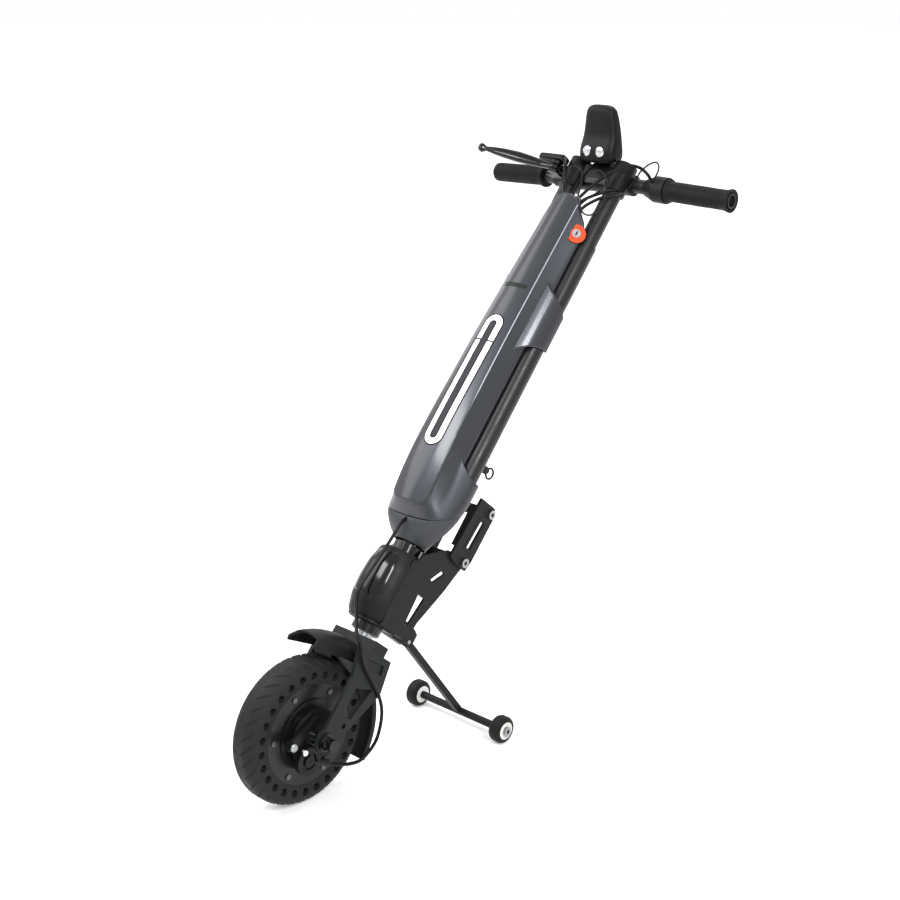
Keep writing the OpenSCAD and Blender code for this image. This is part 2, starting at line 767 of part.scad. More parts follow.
module caster_bolts() {
  color("#b9bbbe") in_stand() translate([0, 0, -leg_l]) both_sides() {
    rod_x(caster_bolt_r, caster_in - caster_w, caster_out + caster_bolt_r);
    rod_x(caster_bolt_r * 1.8, caster_out + face_clear, caster_out + caster_bolt_r);
  }
}

module caster_tyre() {
  points = [[caster_hub_r, -caster_w / 2], [caster_r - caster_round, -caster_w / 2],
            [caster_r - caster_round / 3, -caster_w / 2 + caster_round / 3],
            [caster_r, -caster_w / 2 + caster_round], [caster_r, caster_w / 2 - caster_round],
            [caster_r - caster_round / 3, caster_w / 2 - caster_round / 3],
            [caster_r - caster_round, caster_w / 2], [caster_hub_r, caster_w / 2]];
  color("#161617") in_stand() translate([0, 0, -leg_l]) rotate([0, 90, 0])
    translate([0, 0, caster_track / 2]) rotate_extrude() polygon(points);
}

module caster_hub() {
  points = [[caster_bolt_r + run_clear, -caster_w / 2], [caster_hub_r, -caster_w / 2],
            [caster_hub_r, caster_w / 2], [caster_hub_r * 0.85, caster_w / 2],
            [caster_hub_r * 0.8, caster_w / 2 - caster_rim_t],
            [caster_bolt_r * 2, caster_w / 2 - caster_rim_t], [caster_bolt_r * 2, caster_w / 2],
            [caster_bolt_r + run_clear, caster_w / 2]];
  color("#e9e9e8") in_stand() translate([0, 0, -leg_l]) rotate([0, 90, 0])
    translate([0, 0, caster_track / 2]) rotate_extrude() polygon(points);
}

module left_caster_tyre() {
  mirror([1, 0, 0]) caster_tyre();
}

module left_caster_hub() {
  mirror([1, 0, 0]) caster_hub();
}

module right_caster_tyre() {
  caster_tyre();
}

module right_caster_hub() {
  caster_hub();
}

// Steerer and fork

module steerer() {
  color("#8b8d90") in_column() translate([0, 0, crown_top - crown_h])
    ring(steerer_r, steerer_r - steerer_wall, yoke_top - crown_top + crown_h);
}

module headset_bearings() {
  color("#a9abae") in_column() {
    translate([0, 0, block_low - cup_h + cup_wall / 2])
      ring(cup_bore_r - run_clear, steerer_r, cup_h - cup_wall);
    translate([0, 0, block_high + cup_wall / 2])
      ring(cup_bore_r - run_clear, steerer_r, cup_h - cup_wall);
  }
}

module fork_crown() {
  color("#1a1b1d") in_column() difference() {
    union() {
      translate([-crown_w / 2, -crown_depth / 2, crown_top - crown_h])
        cube([crown_w, crown_depth, crown_h]);
      translate([-leg_in, -web_front, web_low])
        cube([dropout_gap, web_front + web_rear, leg_t]);
    }
    translate([0, 0, crown_top - crown_h]) cylinder(r = steerer_r, h = crown_h + cut);
  }
}

function leg_points(shares) =
  [for (p = shares) [p[0] * leg_depth - p[2] * fork_offset, -leg_top - p[1] * leg_drop]];

module fork_leg(shares) {
  color("#222325") in_column() difference() {
    union() {
      side_plate(leg_points(shares), leg_in, leg_t);
      translate([0, -fork_offset, -fork_length]) rod_x(dropout_d / 2, leg_in, leg_out);
    }
    side_plate(leg_points(leg_window_shares), leg_in + leg_t / 2, leg_t);
    side_plate(leg_points(leg_slot_shares), leg_in - cut, leg_t + 2 * cut);
    translate([0, -fork_offset, -fork_length]) rod_x(axle_r, leg_in - cut, leg_out + cut);
    translate([0, -fork_offset * leg_bolt_share / 2, -leg_top - leg_drop * leg_bolt_share])
      rod_x(leg_bolt_r, leg_in - cut, leg_out + cut);
  }
}

module left_fork_leg() {
  mirror([1, 0, 0]) fork_leg(far_leg_shares);
}

module right_fork_leg() {
  fork_leg(leg_shares);
}

// Arched section of the front mudguard, from one skirt's edge to the other
function arch(radius, half, drop) =
  [for (i = [0:2 * guard_steps])
     let (t = 180 * i / (2 * guard_steps))
     [radius - drop + drop * pow(sin(t), 0.5), -half * cos(t)]];

module front_mudguard() {
  half = guard_w / 2;
  outer = arch(front_guard_r, half, skirt_drop);
  inner = arch(front_guard_r - guard_t, half - guard_t, skirt_drop - guard_t);
  rim = len(inner) - 1;
  span = front_guard_angles[1] - front_guard_angles[0];
  tip = [front_guard_r * cos(front_guard_angles[1]), front_guard_r * sin(front_guard_angles[1])];
  foot = front_guard_r - skirt_drop - guard_t;
  color("#1f2022") translate([0, axle_y, tyre_r]) intersection() {
    rotate([0, 90, 0]) rotate([0, 0, 90]) rotate([0, 0, front_guard_angles[0]])
      rotate_extrude(angle = span)
        polygon(concat(outer, [for (i = [rim:-1:0]) inner[i]]));
    side_plate([[foot * cos(front_guard_angles[0]) * 1.5, foot * sin(front_guard_angles[0]) * 0.9],
                [front_guard_r, front_guard_r], [2 * tip[0], front_guard_r * 1.1],
                [2 * tip[0], tip[1] * 0.95], [0, tip[1] * 0.9]],
               -half - cut, guard_w + 2 * cut);
  }
  color("#1f2022") in_column()
    translate([-guard_tab, -web_front - seat_clear - guard_t, web_low])
      cube([2 * guard_tab, guard_t, leg_t + guard_t / 2]);
}

module rear_mudguard() {
  half = guard_w / 2;
  lip = guard_t * 2;
  span = rear_guard_angles[1] - rear_guard_angles[0];
  color("#1a1b1c") translate([0, axle_y, tyre_r]) rotate([0, 90, 0]) rotate([0, 0, 90])
    rotate([0, 0, rear_guard_angles[0]]) rotate_extrude(angle = span)
      polygon([[rear_guard_r - lip, -half], [rear_guard_r + guard_t, -half],
               [rear_guard_r + guard_t, half], [rear_guard_r - lip, half],
               [rear_guard_r - lip, half - guard_t], [rear_guard_r, half - guard_t],
               [rear_guard_r, -half + guard_t], [rear_guard_r - lip, -half + guard_t]]);
  color("#1a1b1c") difference() {
    in_column() translate([-guard_tab, web_rear - 2 * guard_t, web_low - seat_clear - rear_guard_r / 3])
      cube([2 * guard_tab, 2 * guard_t, rear_guard_r / 3]);
    translate([0, axle_y, tyre_r]) rod_x(rear_guard_r, -half, half);
  }
}

// Wheel, hub motor and brake

module tyre() {
  shoulder = half_tyre - tread_flat / 2;
  right = [for (i = [0:shoulder_steps])
             let (t = 90 * i / shoulder_steps)
             [tyre_r - tyre_shoulder + tyre_shoulder * sin(t), tread_flat / 2 + shoulder * cos(t)]];
  left = [for (i = [shoulder_steps:-1:0]) [right[i][0], -right[i][1]]];
  color("#1b1b1c") on_axle() difference() {
    rotate_extrude($fn = 96) polygon(concat([[rim_r, half_hub]], right, left, [[rim_r, -half_hub]]));
    for (i = [0:tyre_holes - 1]) rotate([0, 0, 360 * i / tyre_holes]) {
      translate([hole_ring_r, 0, half_tyre - tyre_hole_depth])
        cylinder(d = tyre_hole_d, h = tyre_hole_depth + cut);
      translate([hole_ring_r, 0, -half_tyre - cut])
        cylinder(d = tyre_hole_d, h = tyre_hole_depth + cut);
    }
  }
}

// The stepped boss of a side cover, from the bearing out to its widest step
function boss_steps(from) =
  [for (i = [0:len(boss_shares) - 1])
     each [[boss_shares[i] * cover_d / 2, from + i * boss_step],
           [boss_shares[i] * cover_d / 2, from + (i + 1) * boss_step]]];

module hub_shell() {
  far = [for (p = boss_steps(half_hub)) [p[0], -p[1]]];
  points = concat([[bearing_d / 2, -cover_in], [magnet_out_r, -cover_in], [magnet_out_r, cover_in],
                   [cover_d / 2, cover_in], [cover_d / 2, half_hub], [rim_r, half_hub],
                   [rim_r, -half_hub]], far, [[bearing_d / 2, -boss_end]]);
  color("#161618") on_axle() difference() {
    rotate_extrude() polygon(points);
    cover_screw_places() translate([0, 0, cover_in - cover_t])
      cylinder(d = cover_screw_d, h = cover_t + cut);
  }
}

module cover_screw_places() {
  for (i = [0:cover_screw_count - 1])
    rotate([0, 0, 360 * (i + screw_turn_share) / cover_screw_count])
      translate([screw_ring_d / 2, 0, 0]) children();
}

module hub_cover() {
  points = concat([[bearing_d / 2, cover_in], [cover_d / 2, cover_in], [cover_d / 2, half_hub]],
                  boss_steps(half_hub), [[bearing_d / 2, boss_end]]);
  color("#131315") on_axle() difference() {
    rotate_extrude() polygon(points);
    cover_screw_places() translate([0, 0, cover_in - cut])
      cylinder(d = cover_screw_d, h = cover_t + 2 * cut);
  }
}

module cover_screws() {
  color("#c4c6c8") on_axle() cover_screw_places() {
    translate([0, 0, cover_in - cover_t]) cylinder(d = cover_screw_d, h = 2 * cover_t);
    translate([0, 0, half_hub]) cylinder(d = 2 * cover_screw_d, h = cover_screw_d / 2);
  }
}

module magnet_ring() {
  color("#7d7f83") on_axle() translate([0, 0, -stator_w / 2])
    ring(magnet_out_r, magnet_out_r - magnet_t, stator_w);
}

module hub_bearings() {
  color("#9a9ca0") on_axle() both_ends() translate([0, 0, cover_in])
    ring(bearing_d / 2, axle_r + run_clear, bearing_w);
}

// The same piece at both ends of the hub
module both_ends() {
  children();
  mirror([0, 0, 1]) children();
}

module stator() {
  core = stator_r * tooth_share;
  half_tooth = stator_r / tooth_count;
  wide = asin(half_tooth / core);
  slim = asin(half_tooth / stator_r);
  teeth = [for (i = [0:tooth_count - 1])
             let (a = 360 * i / tooth_count)
             each [core * [cos(a - wide), sin(a - wide)], stator_r * [cos(a - slim), sin(a - slim)],
                   stator_r * [cos(a + slim), sin(a + slim)], core * [cos(a + wide), sin(a + wide)]]];
  color("#8a5a33") on_axle() translate([0, 0, -stator_w / 2]) difference() {
    linear_extrude(stator_w) polygon(teeth);
    translate([0, 0, -cut]) cylinder(r = axle_r, h = stator_w + 2 * cut);
  }
}

module wheel_axle() {
  color("#77797d") on_axle() {
    translate([0, 0, -leg_out - nut_l * 0.8]) cylinder(r = axle_r, h = 2 * (leg_out + nut_l * 0.8));
    translate([0, 0, brake_plate_out]) cylinder(r = collar_r, h = leg_in - brake_plate_out);
    translate([0, 0, -leg_in]) cylinder(r = collar_r, h = leg_in - brake_plate_in);
  }
}

module axle_nuts() {
  color("#1e1f21") on_axle() both_ends() translate([0, 0, leg_out]) difference() {
    union() {
      cylinder(d = nut_d * 1.2, h = nut_flange);
      cylinder(d = nut_d, h = nut_l * 0.6, $fn = 6);
      cylinder(d = nut_d * 0.8, h = nut_l);
    }
    translate([0, 0, -cut]) cylinder(r = axle_r, h = nut_l * 0.8 + cut);
  }
}

module brake_plate() {
  color("#1c1d1f") translate([0, axle_y, tyre_r]) {
    difference() {
      rod_x(plate_r, brake_plate_in, brake_plate_out);
      rod_x(axle_r, brake_plate_in - cut, brake_plate_out + cut);
      translate([0, cam_share[0] * plate_r, cam_share[1] * plate_r])
        rod_x(cam_r + run_clear, brake_plate_in - cut, brake_plate_out + cut);
    }
    translate([0, anchor_share[0] * plate_r, anchor_share[1] * plate_r]) brake_anchor();
  }
}

// The cable's anchor on the brake plate, with its barrel adjuster
module brake_anchor() {
  top = brake_plate_out + brake_arm_t * 1.6;
  difference() {
    union() {
      rod_x(anchor_r, brake_plate_out, top);
      translate([brake_plate_out + brake_arm_t, 0, 0]) rotate([adjuster_angle - 90, 0, 0])
        cylinder(r = adjuster_r, h = adjuster_l);
    }
    rod_x(anchor_r * 0.6, top - brake_arm_t / 2, top + cut);
    translate([brake_plate_out + brake_arm_t, 0, 0]) rotate([adjuster_angle - 90, 0, 0])
      translate([0, 0, adjuster_l * 0.7]) cylinder(r = cable_r * 1.4, h = adjuster_l);
  }
  rod_x(anchor_r * 0.4, top - brake_arm_t, top + brake_arm_t / 4);
}

module brake_arm() {
  pivot_y = axle_y + cam_share[0] * plate_r;
  pivot_z = tyre_r + cam_share[1] * plate_r;
  color("#2a2b2d") translate([0, pivot_y, pivot_z]) {
    rod_x(cam_r, brake_plate_in + run_clear, arm_in + brake_arm_t);
    rod_x(brake_arm_w / 2, arm_in, arm_in + brake_arm_t);
    rotate([arm_angle, 0, 0]) translate([arm_in, 0, -brake_arm_w * 0.4])
      cube([brake_arm_t, brake_arm_l, brake_arm_w * 0.8]);
    rotate([arm_angle, 0, 0]) translate([0, brake_arm_l, 0]) {
      rod_x(brake_arm_w / 2, arm_in, arm_in + brake_arm_t);
      rod_x(brake_arm_w / 3, arm_in, arm_in + 2 * brake_arm_t);
    }
  }
}

module brake_cable() {
  color("#111112") in_column() cord(lower_route, cable_r, 2, [0.6, 0.1, 0.8]);
}

// Column and battery case

module column_yoke() {
  color("#4a4b4e") in_column() difference() {
    union() {
      translate([0, 0, yoke_low]) cylinder(r = steerer_r + 4 * yoke_wall, h = yoke_h);
      both_sides() translate([tube_x, -tube_forward, yoke_low])
        cylinder(r = tube_r + yoke_wall, h = yoke_h);
      translate([-tube_x, -tube_r / 2, yoke_low]) cube([tube_spacing, tube_r, yoke_h]);
    }
    translate([0, 0, yoke_low - cut]) cylinder(r = steerer_r, h = yoke_h + 2 * cut);
    both_sides() translate([tube_x, -tube_forward, yoke_low - cut])
      cylinder(r = tube_r, h = yoke_h + 2 * cut);
  }
}

module outer_tubes() {
  color("#1f1f21") in_column() both_sides() difference() {
    translate([tube_x, -tube_forward, tube_low]) ring(tube_r, tube_bore_r, tube_top - tube_low);
    plunger_place() cylinder(r = plunger_pin_r + run_clear, h = tube_d);
  }
}

// Rounded front between two creases, as [across, behind] points
function crown(half, rise, front) =
  let (r = (half * half + rise * rise) / (2 * rise), a = asin(half / r))
  [for (i = [0:crown_steps])
     let (t = -a + 2 * a * i / crown_steps)
     [r * sin(t), -(front - r + r * cos(t))]];

// Section of the case's front at one station: the rounded front and its two side panels
function front_section(p, inset) =
  concat(crown(crease_half * p[1] - inset, crown_rise, crease_front * p[2] + crown_rise - inset),
         [[panel_half - inset / cos(panel_angle), -panel_front],
          [-panel_half + inset / cos(panel_angle), -panel_front]]);

// The whole bowed front, drawn through its stations
module front_loft(inset) {
  hull() for (p = front_shares)
    translate([0, 0, p[0] * case_top]) linear_extrude(case_wall / 3) polygon(front_section(p, inset));
}

// Section of the foot's wings, which wrap both tubes
function foot(inset) =
  let (right = concat([for (p = wing_shares) [p[0] * wing_half - inset, -p[1] * case_front]],
                      [[wing_half - inset, case_wall], [wing_rear_half - inset, tube_r * 0.75],
                       [low_rear_half - inset, low_rear - inset],
                       [spine_half - inset / 2, spine_rear - inset]]),
       n = len(right) - 1)
  concat(right, [for (i = [n:-1:0]) [-right[i][0], right[i][1]]]);

// Side outline that trims the foot: level seam below, raked edge above, rounded toe
function seam_at(rear) = seam_rise + rear * tan(column_lean);
function foot_side() =
  let (toe = case_front * toe_back_share, tail = spine_rear + cut)
  concat([[-toe, seam_at(-toe)], [tail, seam_at(tail)], [tail, low_wing_top * wing_edge_shares[0][1]]],
         [for (p = wing_edge_shares) [-case_front * p[0], low_wing_top * p[1]]],
         [[-case_front - cut, low_wing_top], [-case_front - cut, seam_rise]],
         [for (p = toe_shares) [-case_front * p[0], seam_rise - case_front * p[1]]]);

// Side outline of the foot's hollow, open below, with a wall left behind the toe
function foot_cavity() =
  let (w = case_wall * 1.3, toe = case_front * toe_back_share - case_wall)
  concat([[spine_rear, 0], [spine_rear, low_wing_top], [-case_front + case_wall, low_wing_top],
          [-case_front + case_wall, seam_rise + case_wall]],
         [for (p = toe_shares) [-case_front * p[0] + w, seam_rise - case_front * p[1] + w]],
         [[-toe, seam_at(-toe) + w], [-toe, 0]]);

// Side outline of the case's long front, with its raked top
function channel_side(inset) =
  [[-panel_front + cut, channel_low], [-case_front - cut, channel_low],
   [-case_front - cut, case_top - top_round - inset], [-top_front - crown_rise / 2, case_top - inset],
   [-crease_front * rake_share - inset, case_top - inset],
   [-panel_front + cut, rake_low - rake_wall * inset]];

// Front outline of the case, with rounded top corners
module front_outline(inset) {
  half = wing_half;
  translate([-half, cut, 0]) rotate([90, 0, 0]) linear_extrude(2 * case_front)
    square([2 * half, case_top - top_round]);
  translate([0, cut, case_top - top_round - inset]) rotate([90, 0, 0])
    cylinder(r = top_round, h = 2 * case_front);
}

module trimmed_channel(inset) {
  intersection() {
    front_loft(inset);
    side_plate(channel_side(inset), -wing_half, wing_w);
  }
}

module foot_body(inset) {
  front_loft(inset);
  linear_extrude(case_top) polygon(foot(inset));
}

module trimmed_foot() {
  intersection() {
    foot_body(0);
    side_plate(foot_side(), -wing_half - cut, wing_w + 2 * cut);
  }
}

module mid_wing() {
  rake = (mid_wing_high - mid_wing_low) / 3;
  intersection() {
    translate([0, 0, mid_wing_low]) linear_extrude(mid_wing_high - mid_wing_low + rake)
      polygon(concat([for (p = mid_wing_shares) [wing_half * p[0], -case_front * p[1]]],
                     [[wing_half * 0.97, -tube_forward], [tube_x, -tube_forward],
                      [panel_half - case_wall, -panel_front]]));
    side_plate([[0, mid_wing_low], [0, mid_wing_high - rake], [-case_front, mid_wing_high + rake],
                [-case_front, mid_wing_low]], 0, wing_half);
  }
}

module strip_outline(grow) {
  r = strip_w / 2;
  translate([0, 0, strip_low]) rotate([90, 0, 0]) linear_extrude(2 * case_front) difference() {
    union() {
      translate([0, r]) circle(r + grow);
      translate([0, strip_l - r]) circle(r + grow);
      translate([-r - grow, r]) square([2 * r + 2 * grow, strip_l - 2 * r]);
    }
    union() {
      translate([0, r]) circle(r - strip_band - grow);
      translate([0, strip_l - r]) circle(r - strip_band - grow);
      translate([-r + strip_band + grow, r])
        square([2 * (r - strip_band - grow), strip_l - 2 * r]);
    }
  }
}

// A skin of the rounded front, from a depth under it to a stand above it
module front_skin(deep, stand) {
  difference() {
    front_loft(-stand);
    front_loft(deep);
  }
}

// Place of the key lock: on the side panel, facing square out of it
module lock_place() {
  x = lock_half + (panel_half - lock_half) * lock_share;
  y = lock_front + (panel_front - lock_front) * lock_share;
  turn = atan2(panel_half - lock_half, lock_front - panel_front);
  translate([x, -y, lock_height]) rotate([0, 0, -turn]) rotate([0, 90 - lock_tilt, 0])
    translate([0, 0, lock_lift]) children();
}

// The bezel's round form with one flat side, let into the panel
module lock_form(grow, high) {
  difference() {
    cylinder(r = lock_r + grow, h = high);
    translate([-lock_d, -lock_d - lock_r * lock_flat_share - grow, -cut]) cube([2 * lock_d, lock_d, lock_d]);
  }
}

module front_shell() {
  color("#4d515b") in_column() difference() {
    union() {
      intersection() {
        trimmed_channel(0);
        front_outline(0);
      }
      trimmed_foot();
      both_sides() mid_wing();
    }
    intersection() {
      trimmed_channel(case_wall);
      front_outline(case_wall);
    }
    translate([-panel_half + case_wall / cos(panel_angle), -panel_front - cut, channel_low])
      cube([panel_w - 2 * case_wall / cos(panel_angle), 2 * cut, tray_top - channel_low]);
    intersection() {
      foot_body(case_wall);
      side_plate(foot_cavity(), -wing_half, wing_w);
    }
    both_sides() translate([tube_x, -tube_forward, 0]) cylinder(r = tube_r + 2 * seat_clear, h = case_top);
    intersection() {
      strip_outline(seat_clear);
      front_skin(strip_depth + seat_clear, cut);
    }
    translate([-window_w / 2 - seat_clear, -2 * case_front, window_height - seat_clear])
      cube([window_w + 2 * seat_clear, 2 * case_front - top_front, window_h + 2 * seat_clear]);
    lock_place() {
      translate([0, 0, -lock_body_l]) cylinder(r = key_r + lock_t, h = 2 * lock_body_l);
      lock_form(seat_clear, 2 * lock_t);
    }
    gland_holes();
    cable_exit(135);
    both_sides() translate([tube_x, -tube_forward, yoke_low - seat_clear])
      cylinder(r = tube_r + yoke_wall + seat_clear, h = yoke_h + 2 * seat_clear);
  }
}

// Holes in the case's raked top for the cables
module gland_holes() {
  for (route = [lever_route, throttle_route, display_route])
    translate(route[len(route) - 1]) translate([0, 0, -gland_r]) cylinder(r = gland_r, h = case_top);
}

module rear_shell() {
  lid_half = panel_half - case_wall / cos(panel_angle) - seat_clear;
  lid_rear = lid_front - case_wall;
  in_half = tray_half - case_wall;
  in_rear = tray_rear - case_wall;
  color("#3d4048") in_column() difference() {
    union() {
      translate([0, 0, tray_low]) linear_extrude(tray_top - tray_low)
        polygon([[-lid_half, -lid_front], [-lid_half, -lid_rear], [-tray_half, -lid_rear],
                 [-tray_half, tray_rear], [tray_half, tray_rear], [tray_half, -lid_rear],
                 [lid_half, -lid_rear], [lid_half, -lid_front]]);
      translate([-tray_half, -lid_front, tray_top - case_wall])
        cube([2 * tray_half, case_wall, rake_low - tray_top]);
    }
    translate([-in_half, -case_front, tray_low + case_wall])
      cube([2 * in_half, case_front + in_rear, tray_top - tray_low - 2 * case_wall]);
  }
}

// The foot's level section, pulled in by an inset and drawn as a thin slab
module seam_slab(inset) {
  thin = case_wall / 3;
  toe = case_front * toe_back_share - inset;
  tail = spine_rear - inset;
  intersection() {
    foot_body(inset);
    side_plate([[-toe, seam_at(-toe) - seat_clear], [tail, seam_at(tail) - seat_clear],
                [tail, seam_at(tail) - thin], [-toe, seam_at(-toe) - thin]], -wing_half, wing_w);
  }
}

module base_shell() {
  neck_r = cup_r * 1.15;
  neck_low = head_top + face_clear * 6;
  color("#555963") in_column() difference() {
    hull() {
      seam_slab(case_wall / 2);
      translate([0, 0, neck_low]) cylinder(r = neck_r, h = case_wall, $fn = 32);
    }
    hull() {
      translate([0, 0, case_wall]) seam_slab(2 * case_wall);
      translate([0, 0, neck_low - cut]) cylinder(r = neck_r - case_wall, h = case_wall, $fn = 32);
    }
    cable_exit(150);
  }
}

// Hole for the brake cable in the base, and its notch in the foot's toe
module cable_exit(turn) {
  translate(lower_route[0]) rotate([turn, 0, 0]) cylinder(r = cable_r + face_clear, h = case_front / 2);
}

module light_strip() {
  high = strip_low + strip_l * strip_break_share;
  color("#f4f5f6") in_column() difference() {
    intersection() {
      strip_outline(0);
      front_skin(strip_depth, strip_stand);
    }
    translate([-strip_w, -2 * case_front, high]) cube([2 * strip_w, 2 * case_front, strip_break]);
  }
}

module level_window() {
  color("#2c3a34") in_column() intersection() {
    front_skin(case_wall, 0);
    translate([-window_w / 2, -2 * case_front, window_height])
      cube([window_w, 2 * case_front, window_h]);
  }
}

module lock_bezel() {
  color("#f1641e") in_column() lock_place() difference() {
    union() {
      translate([0, 0, seat_clear]) lock_form(0, lock_t);
      translate([0, 0, -lock_body_l]) cylinder(r = key_r + lock_t - seat_clear, h = lock_body_l + lock_t);
    }
    translate([0, 0, -lock_body_l + lock_t]) cylinder(r = key_r + run_clear, h = 2 * lock_body_l);
  }
}

module key_barrel() {
  color("#d9dadb") in_column() lock_place() difference() {
    translate([0, 0, -lock_body_l + lock_t + face_clear])
      cylinder(r = key_r, h = lock_body_l + lock_t / 2);
    translate([-key_r * 0.6, -key_r / 8, lock_t]) cube([key_r * 1.2, key_r / 4, lock_t]);
  }
}

module battery_pack() {
  color("#2f5fa8") in_column()
    translate([-battery_half, -battery_front, battery_low])
      cube([2 * battery_half, battery_front + battery_rear, battery_l]);
}

module controller() {
  fins = 7;
  pitch = controller_l / fins;
  color("#8f9296") in_column() translate([-battery_half, -controller_front, controller_low]) {
    cube([2 * battery_half, controller_front + battery_rear, controller_l]);
    for (i = [0:fins - 1]) translate([0, -pitch / 2, i * pitch])
      cube([2 * battery_half, pitch / 2, pitch / 3]);
  }
}

// Place of the plunger: behind the right tube, pointing back
module plunger_place() {
  translate([tube_x, -tube_forward, plunger_height]) rotate([-90, 0, 0]) children();
}

module plunger_body() {
  color("#28292b") in_column() plunger_place() difference() {
    translate([0, 0, tube_r - cut / 2]) cylinder(r = plunger_r, h = plunger_l + cut / 2);
    cylinder(r = plunger_pin_r + run_clear, h = 2 * tube_d);
    translate([0, -tube_d, 0]) rotate([-90, 0, 0]) cylinder(r = tube_r, h = 2 * tube_d);
  }
}

module plunger_pin() {
  tail = tube_r + plunger_l + face_clear;
  color("#1f2022") in_column() plunger_place() {
    translate([0, 0, slide_r + seat_clear]) cylinder(r = plunger_pin_r, h = tail - slide_r);
    translate([0, 0, tail]) cylinder(r = plunger_r * 0.8, h = ring_wire_r);
    translate([0, 0, tail + ring_r + ring_wire_r]) rotate([0, 90, 0])
      rotate_extrude() translate([ring_r, 0]) circle(ring_wire_r);
  }
}

// Handlebar

module slide_tubes() {
  color("#2a2b2d") in_column() both_sides() translate([tube_x, -tube_forward, slide_low])
    ring(slide_r, slide_r - slide_wall, slide_top - slide_low);
}

module bar_head() {
  web_front_y = -tube_forward - boss_r * 0.4;
  color("#151517") in_column() difference() {
    union() {
      both_sides() translate([tube_x, -tube_forward, boss_low])
        cylinder(r = boss_r, h = boss_top - boss_low);
      translate([0, bar_back, bar_height]) rod_x(clamp_r, -bridge_half, bridge_half);
      translate([-tube_x, web_front_y, bar_height - web_half])
        cube([tube_spacing, bar_back - web_front_y, 2 * web_half]);
    }
    both_sides() translate([tube_x, -tube_forward, boss_low - cut])
      cylinder(r = slide_r, h = slide_top - boss_low + cut);
    translate([0, bar_back, bar_height]) rod_x(bar_r, -half_width, half_width);
  }
}

// Frame at the start of the bar's swept end, X along the bar
module on_bar() {
  translate([sweep_start + bend_run, bar_back + bend_back, bar_height])
    rotate([0, 0, bar_sweep]) children();
}

// The whole bar at one radius: straight middle, two bends and two swept ends
module bar_form(radius, over) {
  translate([0, bar_back, bar_height]) rod_x(radius, -sweep_start, sweep_start);
  both_sides() {
    translate([sweep_start, bar_back + bend_r, bar_height]) rotate([0, 0, -90])
      rotate_extrude(angle = bar_sweep) translate([bend_r, 0]) circle(radius);
    on_bar() rod_x(radius, 0, grip_end + over);
  }
}

module handlebar() {
  color("#1b1b1d") in_column() difference() {
    bar_form(bar_r, 0);
    bar_form(bar_r - bar_wall, cut);
  }
}

module grip() {
  rotate([0, 90, 0]) rotate_extrude()
    polygon([[bar_r + run_clear, grip_start], [grip_r + grip_lip, grip_start],
             [grip_r + grip_lip, grip_start + grip_lip_l / 2], [grip_r, grip_start + grip_lip_l],
             [grip_r, grip_end - 2 * grip_lip_l], [grip_r + grip_lip, grip_end - grip_lip_l],
             [grip_r + grip_lip, grip_end], [bar_r + run_clear, grip_end]]);
}

module left_grip() {
  color("#1a1a1b") in_column() mirror([1, 0, 0]) on_bar() grip();
}

module throttle_grip() {
  color("#1a1a1b") in_column() on_bar() grip();
}

module throttle_housing() {
  cone = throttle_l * 0.45;
  color("#17171a") in_column() on_bar() rotate([0, 90, 0]) rotate_extrude()
    polygon([[bar_r, throttle_start], [bar_r + bar_wall, throttle_start],
             [throttle_r, throttle_start + cone], [throttle_r, throttle_start + throttle_l],
             [bar_r, throttle_start + throttle_l]]);
}

// Place of the brake lever's pivot: ahead of the left bar, turning about the steering direction
module lever_place() {
  translate([-pivot_x, bar_back, bar_height]) rotate([lever_tilt, 0, 0])
    translate([0, pivot_front - bar_back, 0]) children();
}

module lever_perch() {
  color("#202123") in_column() {
    mirror([1, 0, 0]) on_bar() rotate([lever_tilt, 0, 0]) difference() {
      union() {
        rod_x(perch_r, perch_start / 6, perch_l);
        translate([perch_start / 6, -perch_r - perch_l / 2, -ear_r])
          cube([perch_l - perch_start / 6, perch_l / 2 + perch_r / 2, 2 * ear_r]);
      }
      rod_x(bar_r, -cut, perch_l + cut);
      translate([-cut, -perch_r - 2 * perch_l, -lever_h / 2 - face_clear])
        cube([2 * perch_l, 2 * perch_l - cut, lever_h + 2 * face_clear]);
    }
    lever_place() {
      both_ends() translate([0, 0, lever_h / 2 + face_clear]) cylinder(r = ear_r, h = ear_r - lever_h / 2);
      translate([0, 0, -ear_r]) cylinder(r = pivot_r, h = 2 * ear_r);
    }
  }
}

module brake_lever() {
  blade = lever_l - ball_r;
  color("#2b2c2f") in_column() lever_place() rotate([0, 0, lever_angle]) {
    difference() {
      union() {
        translate([0, 0, -lever_h / 2]) cylinder(r = ear_r, h = lever_h);
        translate([0, 0, -lever_h / 2]) linear_extrude(lever_h)
          polygon([[0, ear_r], [-blade * 0.3, lever_w * 0.7], [-blade * 0.6, lever_w * 0.4],
                   [-blade, lever_w / 3], [-blade, -lever_w / 3], [-blade * 0.6, -lever_w * 0.7],
                   [-blade * 0.3, -lever_w * 0.5], [0, -ear_r]]);
        translate([-blade, 0, 0]) sphere(r = ball_r);
      }
      translate([0, 0, -lever_h]) cylinder(r = pivot_r + run_clear, h = 2 * lever_h);
    }
  }
}

module upper_cables() {
  color("#0f0f10") in_column() {
    cord(lever_route, cable_r, 2, [0.2, 0.9, 0.3]);
    cord(throttle_route, cable_r, 2, [0.2, 0.9, 0.3]);
    cord(display_route, cable_r, 2, [0.9, 0.2, 0.3]);
  }
}

// Frame of the display pod: upright, its face with the buttons behind
module in_pod() {
  translate([0, pod_foot_y, pod_foot_z]) children();
}

